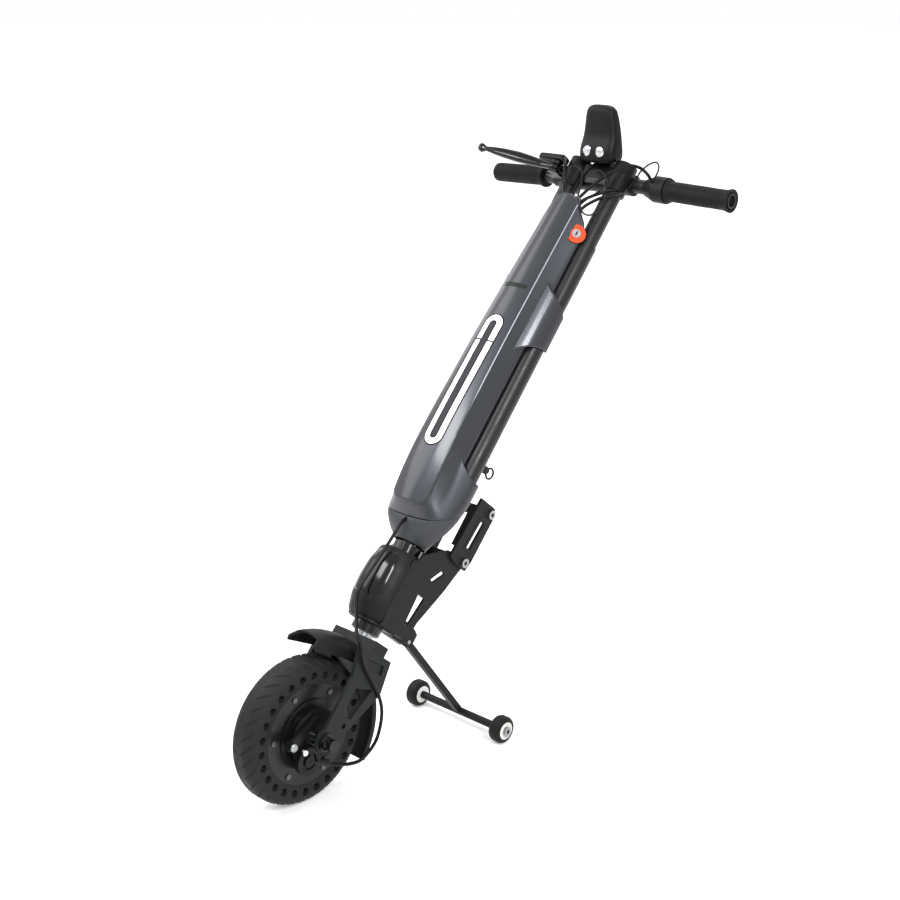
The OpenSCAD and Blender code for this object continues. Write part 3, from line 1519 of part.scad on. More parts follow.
// A slab with rounded edges, standing on the pod's foot
module pod_slab(wide, deep, high) {
  translate([-wide / 2 + pod_round, -deep / 2 + pod_round, high]) {
    for (x = [0, wide - 2 * pod_round], y = [0, deep - 2 * pod_round])
      translate([x, y, 0]) sphere(r = pod_round, $fn = 24);
  }
}

module display_pod() {
  foot_front = -tube_forward - boss_r * 0.3;
  waist = pod_h * 0.32;
  color("#161618") difference() {
    union() {
      in_pod() hull() {
        pod_slab(pod_w, pod_depth, pod_round);
        pod_slab(pod_w * 0.94, pod_depth * 0.9, waist);
      }
      in_pod() hull() {
        pod_slab(pod_w * 0.94, pod_depth * 0.9, waist);
        translate([0, -pod_depth / 8, 0])
          pod_slab(pod_w * pod_top_share, pod_depth * pod_neck_share, pod_h - pod_round);
      }
      in_column() translate([-pod_w / 4, foot_front, bar_height + web_half])
        cube([pod_w / 2, boss_r, boss_top - bar_height]);
    }
    lens_places() translate([0, 0, -lens_t - seat_clear]) cylinder(r = lens_r + seat_clear, h = pod_depth);
    button_places() translate([0, 0, -socket_depth]) cylinder(r = button_r + 2 * run_clear, h = pod_depth);
    mirror([1, 0, 0]) button_places()
      translate([0, 0, -socket_depth]) cylinder(r = button_r + 2 * run_clear, h = pod_depth);
    in_column() both_sides() translate([tube_x, -tube_forward, boss_low])
      cylinder(r = boss_r + seat_clear, h = boss_top - boss_low + seat_clear);
    in_column() translate([0, bar_back, bar_height]) rod_x(clamp_r + seat_clear, -pod_w, pod_w);
    in_column() translate(display_route[0]) sphere(r = gland_r + face_clear);
  }
}

// Places of the two headlamps, facing forward, and of the right button, facing the rider
module lens_places() {
  in_pod() both_sides() translate([lens_gap / 2, -pod_depth / 2, lens_height]) rotate([90, 0, 0]) children();
}

module button_places() {
  in_pod() translate([button_gap / 2, pod_depth / 2 - socket_depth / 2, button_height])
    rotate([-90, 0, 0]) children();
}

module button() {
  color("#3a3b3e") button_places() translate([0, 0, -socket_depth + button_travel + face_clear])
    cylinder(r = button_r, h = socket_depth + button_out - button_travel);
}

module power_button() {
  button();
}

module mode_button() {
  mirror([1, 0, 0]) button();
}

module lamp_lenses() {
  color("#e6edf2") lens_places() translate([0, 0, -lens_t]) cylinder(r = lens_r, h = lens_t);
}

head_block();
side_plates();
dock_arms();
dock_bars();
dock_bolts();
nose_cover();
headset_cups();
stand_lug();
stand_leg();
cross_tube();
caster_bolts();
left_caster_tyre();
left_caster_hub();
right_caster_tyre();
right_caster_hub();
steerer();
headset_bearings();
fork_crown();
left_fork_leg();
right_fork_leg();
front_mudguard();
rear_mudguard();
wheel_axle();
axle_nuts();
stator();
brake_plate();
brake_arm();
brake_cable();
tyre();
hub_shell();
hub_cover();
cover_screws();
magnet_ring();
hub_bearings();
column_yoke();
outer_tubes();
front_shell();
rear_shell();
base_shell();
light_strip();
level_window();
lock_bezel();
key_barrel();
battery_pack();
controller();
plunger_body();
plunger_pin();
slide_tubes();
bar_head();
handlebar();
left_grip();
throttle_housing();
throttle_grip();
lever_perch();
brake_lever();
upper_cables();
display_pod();
lamp_lenses();
power_button();
mode_button();
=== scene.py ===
import json
import math

import bmesh
import bpy
import numpy as np
from mathutils import Matrix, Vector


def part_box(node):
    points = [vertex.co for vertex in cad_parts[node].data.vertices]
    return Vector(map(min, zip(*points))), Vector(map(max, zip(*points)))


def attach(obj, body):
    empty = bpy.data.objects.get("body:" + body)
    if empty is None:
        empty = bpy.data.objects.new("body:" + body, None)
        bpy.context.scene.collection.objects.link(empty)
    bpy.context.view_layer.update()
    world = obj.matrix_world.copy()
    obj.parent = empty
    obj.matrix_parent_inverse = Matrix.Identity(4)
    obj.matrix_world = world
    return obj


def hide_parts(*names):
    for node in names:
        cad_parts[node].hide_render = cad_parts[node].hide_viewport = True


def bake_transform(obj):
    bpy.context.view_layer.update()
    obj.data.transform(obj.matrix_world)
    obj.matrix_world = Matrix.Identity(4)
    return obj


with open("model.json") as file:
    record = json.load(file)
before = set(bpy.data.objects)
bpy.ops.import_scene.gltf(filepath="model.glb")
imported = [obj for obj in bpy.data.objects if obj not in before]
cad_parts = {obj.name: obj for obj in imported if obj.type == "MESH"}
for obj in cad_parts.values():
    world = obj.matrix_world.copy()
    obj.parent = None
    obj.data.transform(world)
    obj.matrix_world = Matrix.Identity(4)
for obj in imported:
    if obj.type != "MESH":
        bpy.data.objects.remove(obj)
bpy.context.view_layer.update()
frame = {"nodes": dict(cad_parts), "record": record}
nodes = frame["nodes"]


# Studio: a seamless sweep of white paper under wide soft boxes, as a catalogue photograph is taken.
# The paper keeps the object's shadow near it, and all that looks past the object sees plain white.
FLOOR_R, FLOOR_SIDES, FLOOR_DROP = 30.0, 96, 0.0005
SHADE_NEAR, SHADE_FAR, SHADE_GLOW = 0.55, 1.3, 0.32
FLOOR_COLOUR = "#f4f4f4"
WORLD_FILL = 0.42
SOFT_BOXES = {  # direction from the object, distance, width and height in m, power in W
    "front_box": ((-0.12, -0.64, 0.76), 1.5, 0.6, 0.35, 13),
    "key_box": ((0.74, -0.34, 0.58), 2.4, 0.32, 0.9, 44),
    "left_box": ((-0.94, 0.22, 0.36), 1.8, 0.5, 0.8, 2.5),
    "fill_box": ((-0.66, -0.41, 0.62), 2.8, 1.8, 1.8, 36),
    "top_box": ((-0.05, 0.40, 0.91), 2.6, 1.8, 1.8, 26),
}
STUDIO_AIM = np.array((0.0, 0.05, 0.45))


def linear(colour):
    """An sRGB hex colour as linear RGBA: c / 12.92 in the dark, ((c + 0.055) / 1.055) ** 2.4 above."""
    srgb = np.array([int(colour[i : i + 2], 16) for i in (1, 3, 5)]) / 255
    return (*np.where(srgb <= 0.04045, srgb / 12.92, ((srgb + 0.055) / 1.055) ** 2.4), 1.0)


def add(tree, kind, links=(), inputs=(), **settings):
    """Adds one node: settings are its properties, inputs its constants, links {socket: (node, output)}."""
    node = tree.nodes.new(kind)
    for name, value in settings.items():
        setattr(node, name, value)
    for socket, value in dict(inputs).items():
        node.inputs[socket].default_value = value
    for socket, (source, output) in dict(links).items():
        tree.links.new(source.outputs[output], node.inputs[socket])
    return node


def seen_past(tree):
    """1 for a ray from the camera, a mirror or clear glass, which are the rays that look past the object."""
    path = add(tree, "ShaderNodeLightPath")
    eye = add(tree, "ShaderNodeMath", {0: (path, "Is Camera Ray"), 1: (path, "Is Glossy Ray")},
              operation="MAXIMUM")
    return add(tree, "ShaderNodeMath", {0: (eye, 0), 1: (path, "Is Transmission Ray")}, operation="MAXIMUM")


def mesh_piece(name, points, faces, material, smooth=True):
    """A mesh object at the origin from an array of points and an array of corners."""
    mesh = bpy.data.meshes.new(name)
    mesh.from_pydata(np.asarray(points, float).reshape(-1, 3).tolist(), [], np.asarray(faces).tolist())
    mesh.materials.append(material)
    mesh.polygons.foreach_set("use_smooth", np.full(len(mesh.polygons), smooth))
    piece = bpy.data.objects.new(name, mesh)
    bpy.context.scene.collection.objects.link(piece)
    return piece


def round_angles(count):
    """The angles of so many equal steps round a circle, from 0 and short of 2 pi."""
    return np.linspace(0, 2 * math.pi, count + 1)[:-1]


paper = bpy.data.materials.new("studio_paper")
paper.use_nodes = True
tree = paper.node_tree
place = add(tree, "ShaderNodeTexCoord")
reach = add(tree, "ShaderNodeVectorMath", {0: (place, "Object")}, operation="LENGTH")
fade = add(tree, "ShaderNodeMapRange", {"Value": (reach, "Value")},
           {"From Min": SHADE_NEAR, "From Max": SHADE_FAR, "To Min": SHADE_GLOW, "To Max": 1.0},
           interpolation_type="SMOOTHSTEP")
glow = add(tree, "ShaderNodeMath", {0: (seen_past(tree), 0), 1: (fade, 0)}, operation="MULTIPLY")
shader = tree.nodes["Principled BSDF"]
shader.inputs["Base Color"].default_value = linear(FLOOR_COLOUR)
shader.inputs["Roughness"].default_value = 0.9
shader.inputs["Specular IOR Level"].default_value = 0.1
shader.inputs["Emission Color"].default_value = (1, 1, 1, 1)
tree.links.new(glow.outputs[0], shader.inputs["Emission Strength"])
turn = round_angles(FLOOR_SIDES)
rim = np.stack([FLOOR_R * np.cos(turn), FLOOR_R * np.sin(turn), 0 * turn - FLOOR_DROP], 1)
floor = mesh_piece("floor", rim, [np.arange(FLOOR_SIDES)], paper, smooth=False)

world = bpy.data.worlds.new("white_studio")
bpy.context.scene.world = world
world.use_nodes = True
tree = world.node_tree
level = add(tree, "ShaderNodeMapRange", {"Value": (seen_past(tree), 0)},
            {"To Min": WORLD_FILL, "To Max": 1.0})
tree.nodes["Background"].inputs["Color"].default_value = (1, 1, 1, 1)
tree.links.new(level.outputs[0], tree.nodes["Background"].inputs["Strength"])


def aimed(side, back, place):
    """A world matrix from its sideways axis, the axis it faces away from, and its place."""
    turned = np.eye(4)
    turned[:3] = np.stack([side, np.cross(back, side), back, place], 1)
    return Matrix(turned.tolist())


for name, (toward, distance, wide, high, power) in SOFT_BOXES.items():
    lamp = bpy.data.lights.new(name, "AREA")
    lamp.shape, lamp.size, lamp.size_y, lamp.energy = "RECTANGLE", wide, high, power
    box = bpy.data.objects.new(name, lamp)
    bpy.context.scene.collection.objects.link(box)
    toward = np.array(toward) / np.linalg.norm(toward)
    side = np.cross((0, 0, 1), toward)
    box.matrix_world = aimed(side / np.linalg.norm(side), toward, STUDIO_AIM + distance * toward)


# Camera: a short telephoto at chest height, found from the wheel, casters and grips of the photograph.
# It stands 2.3 m from the object and is rolled by less than half a degree.
CAMERA_AZ, CAMERA_EL, CAMERA_ROLL = np.radians((43.874, 17.215, 0.406))
CAMERA_AIM, CAMERA_FAR = np.array((-0.0087, 0.0301, 0.4484)), 2.34172
FOCUS_PX, FRAME_PX, SENSOR = 1580.98, 900, 36.0

back = np.array((math.sin(CAMERA_AZ) * math.cos(CAMERA_EL), -math.cos(CAMERA_AZ) * math.cos(CAMERA_EL),
                 math.sin(CAMERA_EL)))
right = np.array((math.cos(CAMERA_AZ), math.sin(CAMERA_AZ), 0.0))
right = math.cos(CAMERA_ROLL) * right + math.sin(CAMERA_ROLL) * np.cross(back, right)
lens = bpy.data.cameras.new("photo_camera")
lens.sensor_width, lens.lens = SENSOR, SENSOR * FOCUS_PX / FRAME_PX
lens.clip_start, lens.clip_end = 0.05, 80
camera = bpy.data.objects.new("photo_camera", lens)
bpy.context.scene.collection.objects.link(camera)
camera.matrix_world = aimed(right, back, CAMERA_AIM + CAMERA_FAR * back)
bpy.context.scene.camera = camera
bpy.context.scene.view_settings.view_transform = "Standard"


# Docking bracket: laser-cut steel plates and slotted arms round a welded head block, in one satin black.
# Powder coat melts to an orange peel about 1.5 mm across, with a slight haze and paler rubbed patches.
def finish(name, base, pale, rough, grain, dent, cloud=35, spread=0.08, **sockets):
    """A surface at two scales: a grain of so many mm dents it, and clouds of so many mm take its colour
    from base to pale and its roughness up and down by a spread."""
    material = bpy.data.materials.new(name)
    material.use_nodes = True
    tree = material.node_tree
    shader = tree.nodes["Principled BSDF"]
    place = add(tree, "ShaderNodeTexCoord")
    fine = add(tree, "ShaderNodeTexNoise", {"Vector": (place, "Object")},
               {"Scale": 1000 / grain, "Detail": 3.0, "Roughness": 0.55})
    soft = add(tree, "ShaderNodeTexNoise", {"Vector": (place, "Object")},
               {"Scale": 1000 / cloud, "Detail": 4.0, "Roughness": 0.6})
    tint = add(tree, "ShaderNodeMix", {"Factor": (soft, "Fac")}, data_type="RGBA")
    tint.inputs["A"].default_value, tint.inputs["B"].default_value = linear(base), linear(pale)
    gloss = add(tree, "ShaderNodeMapRange", {"Value": (soft, "Fac")},
                {"From Min": 0.3, "From Max": 0.7, "To Min": rough - spread, "To Max": rough + spread})
    bump = add(tree, "ShaderNodeBump", {"Height": (fine, "Fac")}, {"Strength": 1.0, "Distance": dent / 1000})
    tree.links.new(tint.outputs["Result"], shader.inputs["Base Color"])
    tree.links.new(gloss.outputs[0], shader.inputs["Roughness"])
    tree.links.new(bump.outputs[0], shader.inputs["Normal"])
    for socket, value in sockets.items():
        shader.inputs[socket.replace("_", " ")].default_value = value
    return material


def coat(material, *names):
    """Gives CAD nodes a finish by their own material slots."""
    for name in names:
        for slot in nodes[name].material_slots:
            slot.material = material


powder_coat = finish("satin_powder_coat", "#161818", "#1c1e1e", 0.46, 1.5, 0.03, Specular_IOR_Level=0.13)
coat(powder_coat, "head_block", "side_plates", "dock_arms", "dock_bars", "stand_lug")

# Its bolts are zinc-plated button heads: bright, slightly clouded, with a fine turned grain.
# Each head has a six-sided socket for a key, drawn as a black plug whose colour is painted shade.
zinc = finish("bright_zinc_plate", "#77797b", "#aaacad", 0.3, 0.8, 0.02, cloud=4, spread=0.08, Metallic=1.0)
coat(zinc, "dock_bolts")
# Painted shade: this black stands in for the shade inside the sockets.
socket_shade_black = finish("painted_socket_shade", "#0c0c0d", "#131314", 0.5, 0.8, 0.02, cloud=4, Specular_IOR_Level=0.15)
SOCKET_ACROSS, SOCKET_LIFT, SOCKET_DEEP, FACE_DEPTH = 6.0, 0.08, 2.0, 0.05
WELD = 1e-6


def metres(x, y, z):
    """Coordinates in mm, spread over their common grid, as points in metres."""
    return np.stack(np.broadcast_arrays(x, y, z), -1) / 1000


def quads(rows, columns, ring=False):
    """Corners of a grid's squares, row by row: a ring also joins its last column to the first."""
    row, column = np.arange(rows - 1)[:, None], np.arange(columns - 1 + ring)[None, :]
    near, after = row * columns, (column + 1) % columns
    far = near + columns
    return np.stack([near + column, near + after, far + after, far + column], -1).reshape(-1, 4)


def gathered(parts):
    """The points and corners of several (grid, corners) parts as one mesh's, counted on from part to part."""
    starts = np.cumsum([0] + [grid.size // 3 for grid, _ in parts[:-1]])
    points = np.concatenate([grid.reshape(-1, 3) for grid, _ in parts])
    return points, np.concatenate([faces + start for (_, faces), start in zip(parts, starts)])


def weld(piece):
    """Merges points that lie together, so that a seam is closed, and turns all faces outward."""
    form = bmesh.new()
    form.from_mesh(piece.data)
    bmesh.ops.remove_doubles(form, verts=form.verts, dist=WELD)
    bmesh.ops.recalc_face_normals(form, faces=form.faces)
    form.to_mesh(piece.data)
    form.free()


def ring_piece(name, grids, material, smooth=True):
    """One mesh of grids whose every row is a ring, with their seams and poles welded."""
    parts = [(grid, quads(*grid.shape[:2], ring=True)) for grid in grids]
    piece = mesh_piece(name, *gathered(parts), material, smooth)
    weld(piece)
    return piece


def hex_sockets(name, body, centres):
    """The six-sided sockets of bolts whose heads face out to both sides, each a short closed prism in a black
    that paints the shade inside the socket.
    """
    angle = round_angles(6)
    corner = np.array([0, 1, 1, 0])[:, None] * SOCKET_ACROSS / math.sqrt(3)
    depth = np.array([-SOCKET_DEEP, -SOCKET_DEEP, SOCKET_LIFT, SOCKET_LIFT])[:, None]
    grids = [metres(side * (x + depth), y + corner * np.cos(angle), z + corner * np.sin(angle))
             for x, y, z in centres for side in (1, -1)]
    piece = ring_piece(name, grids, socket_shade_black, smooth=False)
    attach(piece, body)


def mesh_points(name):
    """All the points of a CAD node's mesh, as one array in mm."""
    vertices = nodes[name].data.vertices
    points = np.empty(3 * len(vertices), np.float32)
    vertices.foreach_get("co", points)
    return 1000 * points.reshape(-1, 3).astype(float)


bolts = mesh_points("dock_bolts")
heads = bolts[bolts[:, 0] > bolts[:, 0].max() - FACE_DEPTH]
upper = heads[:, 2] > (heads[:, 2].min() + heads[:, 2].max()) / 2
centres = [(head.min(0) + head.max(0)) / 2 for head in (heads[upper], heads[~upper])]
hex_sockets("dock_sockets", "dock", centres)

# Nose cover and headset: a deep-drawn cover with a raised panel, and turned cups over bright bearing races.
# Gloss paint lies nearly flat, with waves about 8 mm long that bend what it mirrors.
LEAN, HEAD_Y, HEAD_Z = math.radians(39.8), -148.98, 222.35
NOSE_HALF, NOSE_T, NOSE_ROWS, NOSE_COLUMNS, NOSE_ROUNDS = math.radians(64), 3.0, 121, 81, 12
NOSE_SHAPE = [[9.6, 32.3], [9.6, 34.2], [14.9, 37.8], [36.3, 43.6], [63, 45], [89.7, 43.2], [111.1, 37.8],
              [116.4, 35.6], [116.4, 32.3]]  # height up the column, radius from its axis
PANEL_HALF, PANEL_LOW, PANEL_TOP, PANEL_STEPS = math.radians(42), 34.0, 114.0, 71
PANEL_PROUD, PANEL_SINK, PANEL_EDGE = 1.3, 3.0, 7


def in_column(x, front, height):
    """Column coordinates in mm to metres: height runs up the steering axis and front stands square to it."""
    y = HEAD_Y - front * math.cos(LEAN) + height * math.sin(LEAN)
    z = HEAD_Z + front * math.sin(LEAN) + height * math.cos(LEAN)
    return metres(x, y, z)


def softened(line, rounds):
    """Averages each inner point of a line with its neighbours, in shares of 1, 2 and 1, so many times."""
    for _ in range(rounds):
        line[..., 1:-1] = (line[..., :-2] + 2 * line[..., 1:-1] + line[..., 2:]) / 4
    return line


def drawn_line(stations, steps, rounds):
    """The rows of a smooth line past stations: so many points, shared evenly between them, then softened."""
    at = np.linspace(0, len(stations) - 1, steps)
    rows = [np.interp(at, np.arange(len(stations)), row) for row in np.transpose(stations)]
    return softened(np.stack(rows), rounds)


gloss_black = finish("gloss_black_enamel", "#090a0b", "#0e0f10", 0.17, 8, 0.02, spread=0.03,
                     Specular_IOR_Level=0.3)
coat(gloss_black, "headset_cups")
high, radius = drawn_line(NOSE_SHAPE, NOSE_ROWS, NOSE_ROUNDS)
turn = np.linspace(-NOSE_HALF, NOSE_HALF, NOSE_COLUMNS)
nose = in_column(radius[:, None] * np.sin(turn), radius[:, None] * np.cos(turn), high[:, None])
nose = mesh_piece("drawn_nose", nose, quads(*nose.shape[:2]), powder_coat)
wall = nose.modifiers.new("drawn_wall", "SOLIDIFY")
wall.thickness, wall.offset = NOSE_T / 1000, -1
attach(nose, "dock")
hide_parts("nose_cover")
u, v = np.meshgrid(np.linspace(-1, 1, PANEL_STEPS), np.linspace(-1, 1, PANEL_STEPS))
level = PANEL_LOW + (v + 1) / 2 * (PANEL_TOP - PANEL_LOW)
sink = PANEL_SINK * (np.abs(u) ** PANEL_EDGE + np.abs(v) ** PANEL_EDGE)
proud = np.interp(level, high, radius) + PANEL_PROUD - sink
panel = in_column(proud * np.sin(u * PANEL_HALF), proud * np.cos(u * PANEL_HALF), level)
panel = mesh_piece("nose_panel", panel, quads(*u.shape), gloss_black)
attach(panel, "dock")
steel = finish("turned_bearing_steel", "#7b7e82", "#a6a9ac", 0.22, 0.6, 0.01, cloud=6, spread=0.06,
               Metallic=1.0)
coat(steel, "headset_bearings", "steerer", "hub_bearings", "wheel_axle", "magnet_ring")


# Stand: a square steel leg on a pin with a round cross tube, coated like the bracket.
# Its casters are hard black rubber bands on white nylon hubs, each on a plated bolt.
coat(powder_coat, "stand_leg", "cross_tube")
coat(zinc, "caster_bolts")
bolts = 1000 * np.array(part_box("caster_bolts"))
hex_sockets("caster_sockets", "stand", [(bolts[1, 0], *bolts.mean(0)[1:])])
band = finish("caster_rubber_band", "#101011", "#171718", 0.5, 0.6, 0.03, Specular_IOR_Level=0.15)
coat(band, "left_caster_tyre", "right_caster_tyre")
white_nylon = finish("white_nylon", "#e6e5e0", "#f2f1ee", 0.42, 0.8, 0.02, cloud=12)
coat(white_nylon, "left_caster_hub", "right_caster_hub")


# Fork: cut and folded plate legs welded to a crown block, in a slightly greyer coat than the bracket's.
# Its mudguards are moulded nylon with a fine spark-eroded texture and a softer shine.
fork_coat = finish("grey_black_powder_coat", "#1a1c1d", "#202324", 0.46, 1.5, 0.03, Specular_IOR_Level=0.14)
coat(fork_coat, "fork_crown", "left_fork_leg", "right_fork_leg")
nylon = finish("moulded_black_nylon", "#141516", "#1a1b1c", 0.5, 0.9, 0.03, Specular_IOR_Level=0.14)
coat(nylon, "front_mudguard", "rear_mudguard")


# Wheel: a solid rubber tyre, moulded with blind round holes in both walls that soften its ride.
# Its tread is curved sipes that sweep back from the middle, cut about 1.5 mm deep by the mould.
# The rubber is dull, with a fine grain that spreads what light it returns.
AXLE_Y, TYRE_R, RIM_R, HALF_TYRE, HALF_RIM = -282.0, 108.0, 74.0, 25.0, 22.0
SHOULDER, FLAT, WALL_R = 22.0, 6.0, 94.0
HOLES, HOLE_R, HOLE_DEEP, HOLE_LIP = 26, 5.5, 15.0, 0.8
HOLE_MIDDLE = np.array((RIM_R + 0.36 * (TYRE_R - RIM_R), 0))
SIPES, SIPE_DEEP, SIPE_WIDE, SIPE_SWEEP, SIPE_CURVE = 34, 1.5, 1.5, 0.24, 1.6
SIPE_FROM, SIPE_RISE, SIPE_TO, SIPE_FALL, SIPE_FLARE = 0.12, 6, 0.93, 7, 0.55
SECTOR_STEPS, SIDE_STEPS, TREAD_STEPS, FLAT_STEPS, PLATE_STEPS, LIP_STEPS = 36, 10, 36, 14, 6, 4


def wall_out(radius):
    """The wall's distance from the wheel's middle: straight from the rim, then round the shoulder's
    ellipse, flat / 2 + w sqrt(1 - ((r - r0) / shoulder) ** 2)."""
    start = TYRE_R - SHOULDER
    straight = HALF_RIM + (HALF_TYRE - HALF_RIM) * (radius - RIM_R) / (start - RIM_R)
    turned = np.sqrt(np.clip(1 - (np.maximum(radius - start, 0) / SHOULDER) ** 2, 0, 1))
    return np.where(radius < start, straight, FLAT + (HALF_TYRE - FLAT) * turned)


def on_axle(radius, angle, across):
    """Wheel coordinates to metres: the axle runs along X and the angle starts forward."""
    return metres(across, AXLE_Y - radius * np.cos(angle), TYRE_R + radius * np.sin(angle))


# A wall is a ring of equal cells. Each runs in from its four edges to a rounded lip, and down the hole.
half = math.pi / HOLES
along = np.linspace(-1, 1, SECTOR_STEPS + 1)
up = np.linspace(-1, 1, SIDE_STEPS + 1)
edge_u = np.concatenate([along[:-1], np.ones(SIDE_STEPS), along[:0:-1], -np.ones(SIDE_STEPS)])
edge_v = np.concatenate([-np.ones(SECTOR_STEPS), up[:-1], np.ones(SECTOR_STEPS), up[:0:-1]])
edge_r = RIM_R + (edge_v + 1) / 2 * (WALL_R - RIM_R)
edge = np.stack([edge_r * np.cos(edge_u * half), edge_r * np.sin(edge_u * half)], 1)
toward = edge - HOLE_MIDDLE
toward /= np.linalg.norm(toward, axis=1)[:, None]
lip = HOLE_MIDDLE + (HOLE_R + HOLE_LIP) * toward
plate = edge + np.linspace(0, 1, PLATE_STEPS)[:, None, None] * (lip - edge)
plate_x = wall_out(np.hypot(plate[..., 0], plate[..., 1]))
bend = np.linspace(0, math.pi / 2, LIP_STEPS)[1:, None]
round_in = HOLE_MIDDLE + (HOLE_R + HOLE_LIP * (1 - np.sin(bend)))[..., None] * toward
round_x = plate_x[-1] - HOLE_LIP * (1 - np.cos(bend))
well = np.stack([round_in[-1], HOLE_MIDDLE + 0 * toward])
well_x = np.full((2, len(edge)), HALF_TYRE - HOLE_DEEP)
cell, cell_x = np.concatenate([plate, round_in, well]), np.concatenate([plate_x, round_x, well_x])
cell_r, cell_angle = np.hypot(cell[..., 0], cell[..., 1]), np.arctan2(cell[..., 1], cell[..., 0])
spin = 2 * half * np.arange(HOLES)[:, None, None]
wall = on_axle(cell_r, cell_angle + spin, cell_x)
cell_faces = quads(*cell_r.shape, ring=True)
parts = [(sector * (side, 1, 1), cell_faces) for side in (1, -1) for sector in wall]

# A sipe is exp(-(distance / width) ** 4) deep about a line that sweeps back with the share out ** 1.6. It
# widens on its way out, and runs out to nothing near the middle and on the shoulder.
begin = math.asin((WALL_R - TYRE_R + SHOULDER) / SHOULDER)
bend = np.linspace(begin, math.pi / 2, TREAD_STEPS)
right = np.stack([TYRE_R - SHOULDER + SHOULDER * np.sin(bend), FLAT + (HALF_TYRE - FLAT) * np.cos(bend)])
middle = np.linspace(FLAT, -FLAT, FLAT_STEPS)[1:-1]
profile = np.concatenate([right, np.stack([0 * middle + TYRE_R, middle]), (right * [[1], [-1]])[:, ::-1]], 1)
angle = round_angles(HOLES * SECTOR_STEPS) - half
out = np.abs(profile[1])[:, None] / HALF_TYRE
pitch = 2 * math.pi / SIPES
off = ((angle - SIPE_SWEEP * out**SIPE_CURVE + pitch / 2) % pitch - pitch / 2) * TYRE_R
reach = np.clip(SIPE_RISE * (out - SIPE_FROM), 0, 1) * np.clip(SIPE_FALL * (SIPE_TO - out), 0, 1)
sipe = SIPE_DEEP * reach * np.exp(-((off / (SIPE_WIDE * (SIPE_FLARE + out))) ** 4))
tread = on_axle(profile[0][:, None] - sipe, angle, profile[1][:, None] * (1 - 0.5 * sipe / HALF_TYRE))
bed = on_axle(np.full((2, 1), RIM_R), angle, np.array([[HALF_RIM], [-HALF_RIM]]))
parts += [(grid, quads(*grid.shape[:2], ring=True)) for grid in (tread, bed)]
tyre_rubber = finish("solid_tyre_rubber", "#1a1a1b", "#232324", 0.6, 0.5, 0.03, Specular_IOR_Level=0.16)
tyre = mesh_piece("moulded_tyre", *gathered(parts), tyre_rubber)
weld(tyre)
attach(tyre, "wheel")
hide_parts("tyre")

# The hub motor's shell and side cover are die cast, turned in steps and painted a soft gloss black.
# Its screws are dull zinc, and inside it the stator is wound with varnished copper.
soft_black = finish("soft_gloss_black_enamel", "#0d0e0f", "#121314", 0.3, 6, 0.02, spread=0.04,
                    Specular_IOR_Level=0.3)
coat(soft_black, "hub_cover", "hub_shell")
dull_zinc = finish("dull_zinc_plate", "#4a4c4e", "#6a6c6e", 0.38, 0.8, 0.02, cloud=4, Metallic=1.0)
coat(dull_zinc, "cover_screws")
copper = finish("varnished_copper", "#7a4a24", "#9a6030", 0.4, 1, 0.05)
coat(copper, "stator")


# Brake: a cast plate and a forged arm in satin black, held to the fork by gloss black domed axle nuts.
# The casting keeps a faint dimpled skin, about 2.5 mm across, from its mould.
cast_black = finish("satin_black_casting", "#0c0d0e", "#121314", 0.36, 2.5, 0.04, Specular_IOR_Level=0.15)
coat(cast_black, "brake_plate", "brake_arm")
coat(gloss_black, "axle_nuts")

# A plated bolt clamps the wire to the arm's end, and a white cap keeps dirt out of the round anchor.
# Both are short studs with a domed face, given by where it stands and its radius.
STUDS = {"clamp_bolt": (45.9, -329.5, 113.0, 6.0, zinc, "bare_steel", "brake_shoe_arm"),
         "anchor_cap": (43.5, -307.6, 96.0, 4.0, white_nylon, "white_plastic", "steering")}
STUD_OUT, STUD_DEEP, STUD_SIDES = 2.4, 4.0, 48
STUD_SHAPE = np.array([[-STUD_DEEP, 0], [-STUD_DEEP, 1], [0, 1], [STUD_OUT * 0.6, 1], [STUD_OUT * 0.9, 0.85],
                       [STUD_OUT, 0.5], [STUD_OUT, 0]])
angle = round_angles(STUD_SIDES)
for name, (face, y, z, radius, material, slot, body) in STUDS.items():
    round_y, round_z = (radius * STUD_SHAPE[:, 1:] * g for g in (np.cos(angle), np.sin(angle)))
    stud = ring_piece(name, [metres(face + STUD_SHAPE[:, :1], y + round_y, z + round_z)], material)
    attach(stud, body)


# Column: drawn tubes anodised black with a tight, even shine. The sliding pair runs inside the fixed pair.
# The bar matches them, and the yoke and the pull plunger below take the bracket's coat.
tube_coat = finish("black_anodised_tube", "#17181a", "#1d1e20", 0.38, 0.7, 0.01, Specular_IOR_Level=0.28)
coat(tube_coat, "outer_tubes", "slide_tubes", "handlebar")
coat(powder_coat, "column_yoke", "plunger_body", "plunger_pin")


# Case: an injection-moulded front shell, bowed across, with flat cheeks behind a sharp crease and wings
# that wrap the tubes. It is sprayed metallic grey under a clear coat. The flakes are finer than 0.1 mm, and
# are drawn 0.35 mm across so that they show.
CASE_TOP, CREASE_HALF, CREASE_FRONT, BOW, SMOOTH = 720.0, 35.0, 57.0, 7.0, 24.0
CASE_SHARES = np.array([[0.08, 0.735, 0.517], [0.18, 0.85, 0.70], [0.306, 0.995, 0.93], [0.389, 0.98, 1],
                        [0.472, 0.955, 1], [0.639, 0.886, 0.956], [0.806, 0.806, 0.865], [1, 0.709, 0.737],
                        [1.1, 0.66, 0.671]])  # of the height, the crease's half width and its front
CHEEK_X, CHEEK_F, TURN_IN, TURN_BACK = 48.0, 24.0, 12.0, 6.0
TOP_EDGE = np.array([[0, 719], [10, 718.5], [18, 715], [25, 708], [30, 700], [36, 691], [42, 682],
                     [48, 668]])  # distance from the middle, height
TOP_GUESS, FRONT_LOW, CORNER, SHELL_T = 700.0, 183.0, 16.0, 2.4
ROWS, CROWN_STEPS, CHEEK_STEPS, CREASE_POWER, CREASE_ROUNDS = 150, 30, 20, 1.6, 5


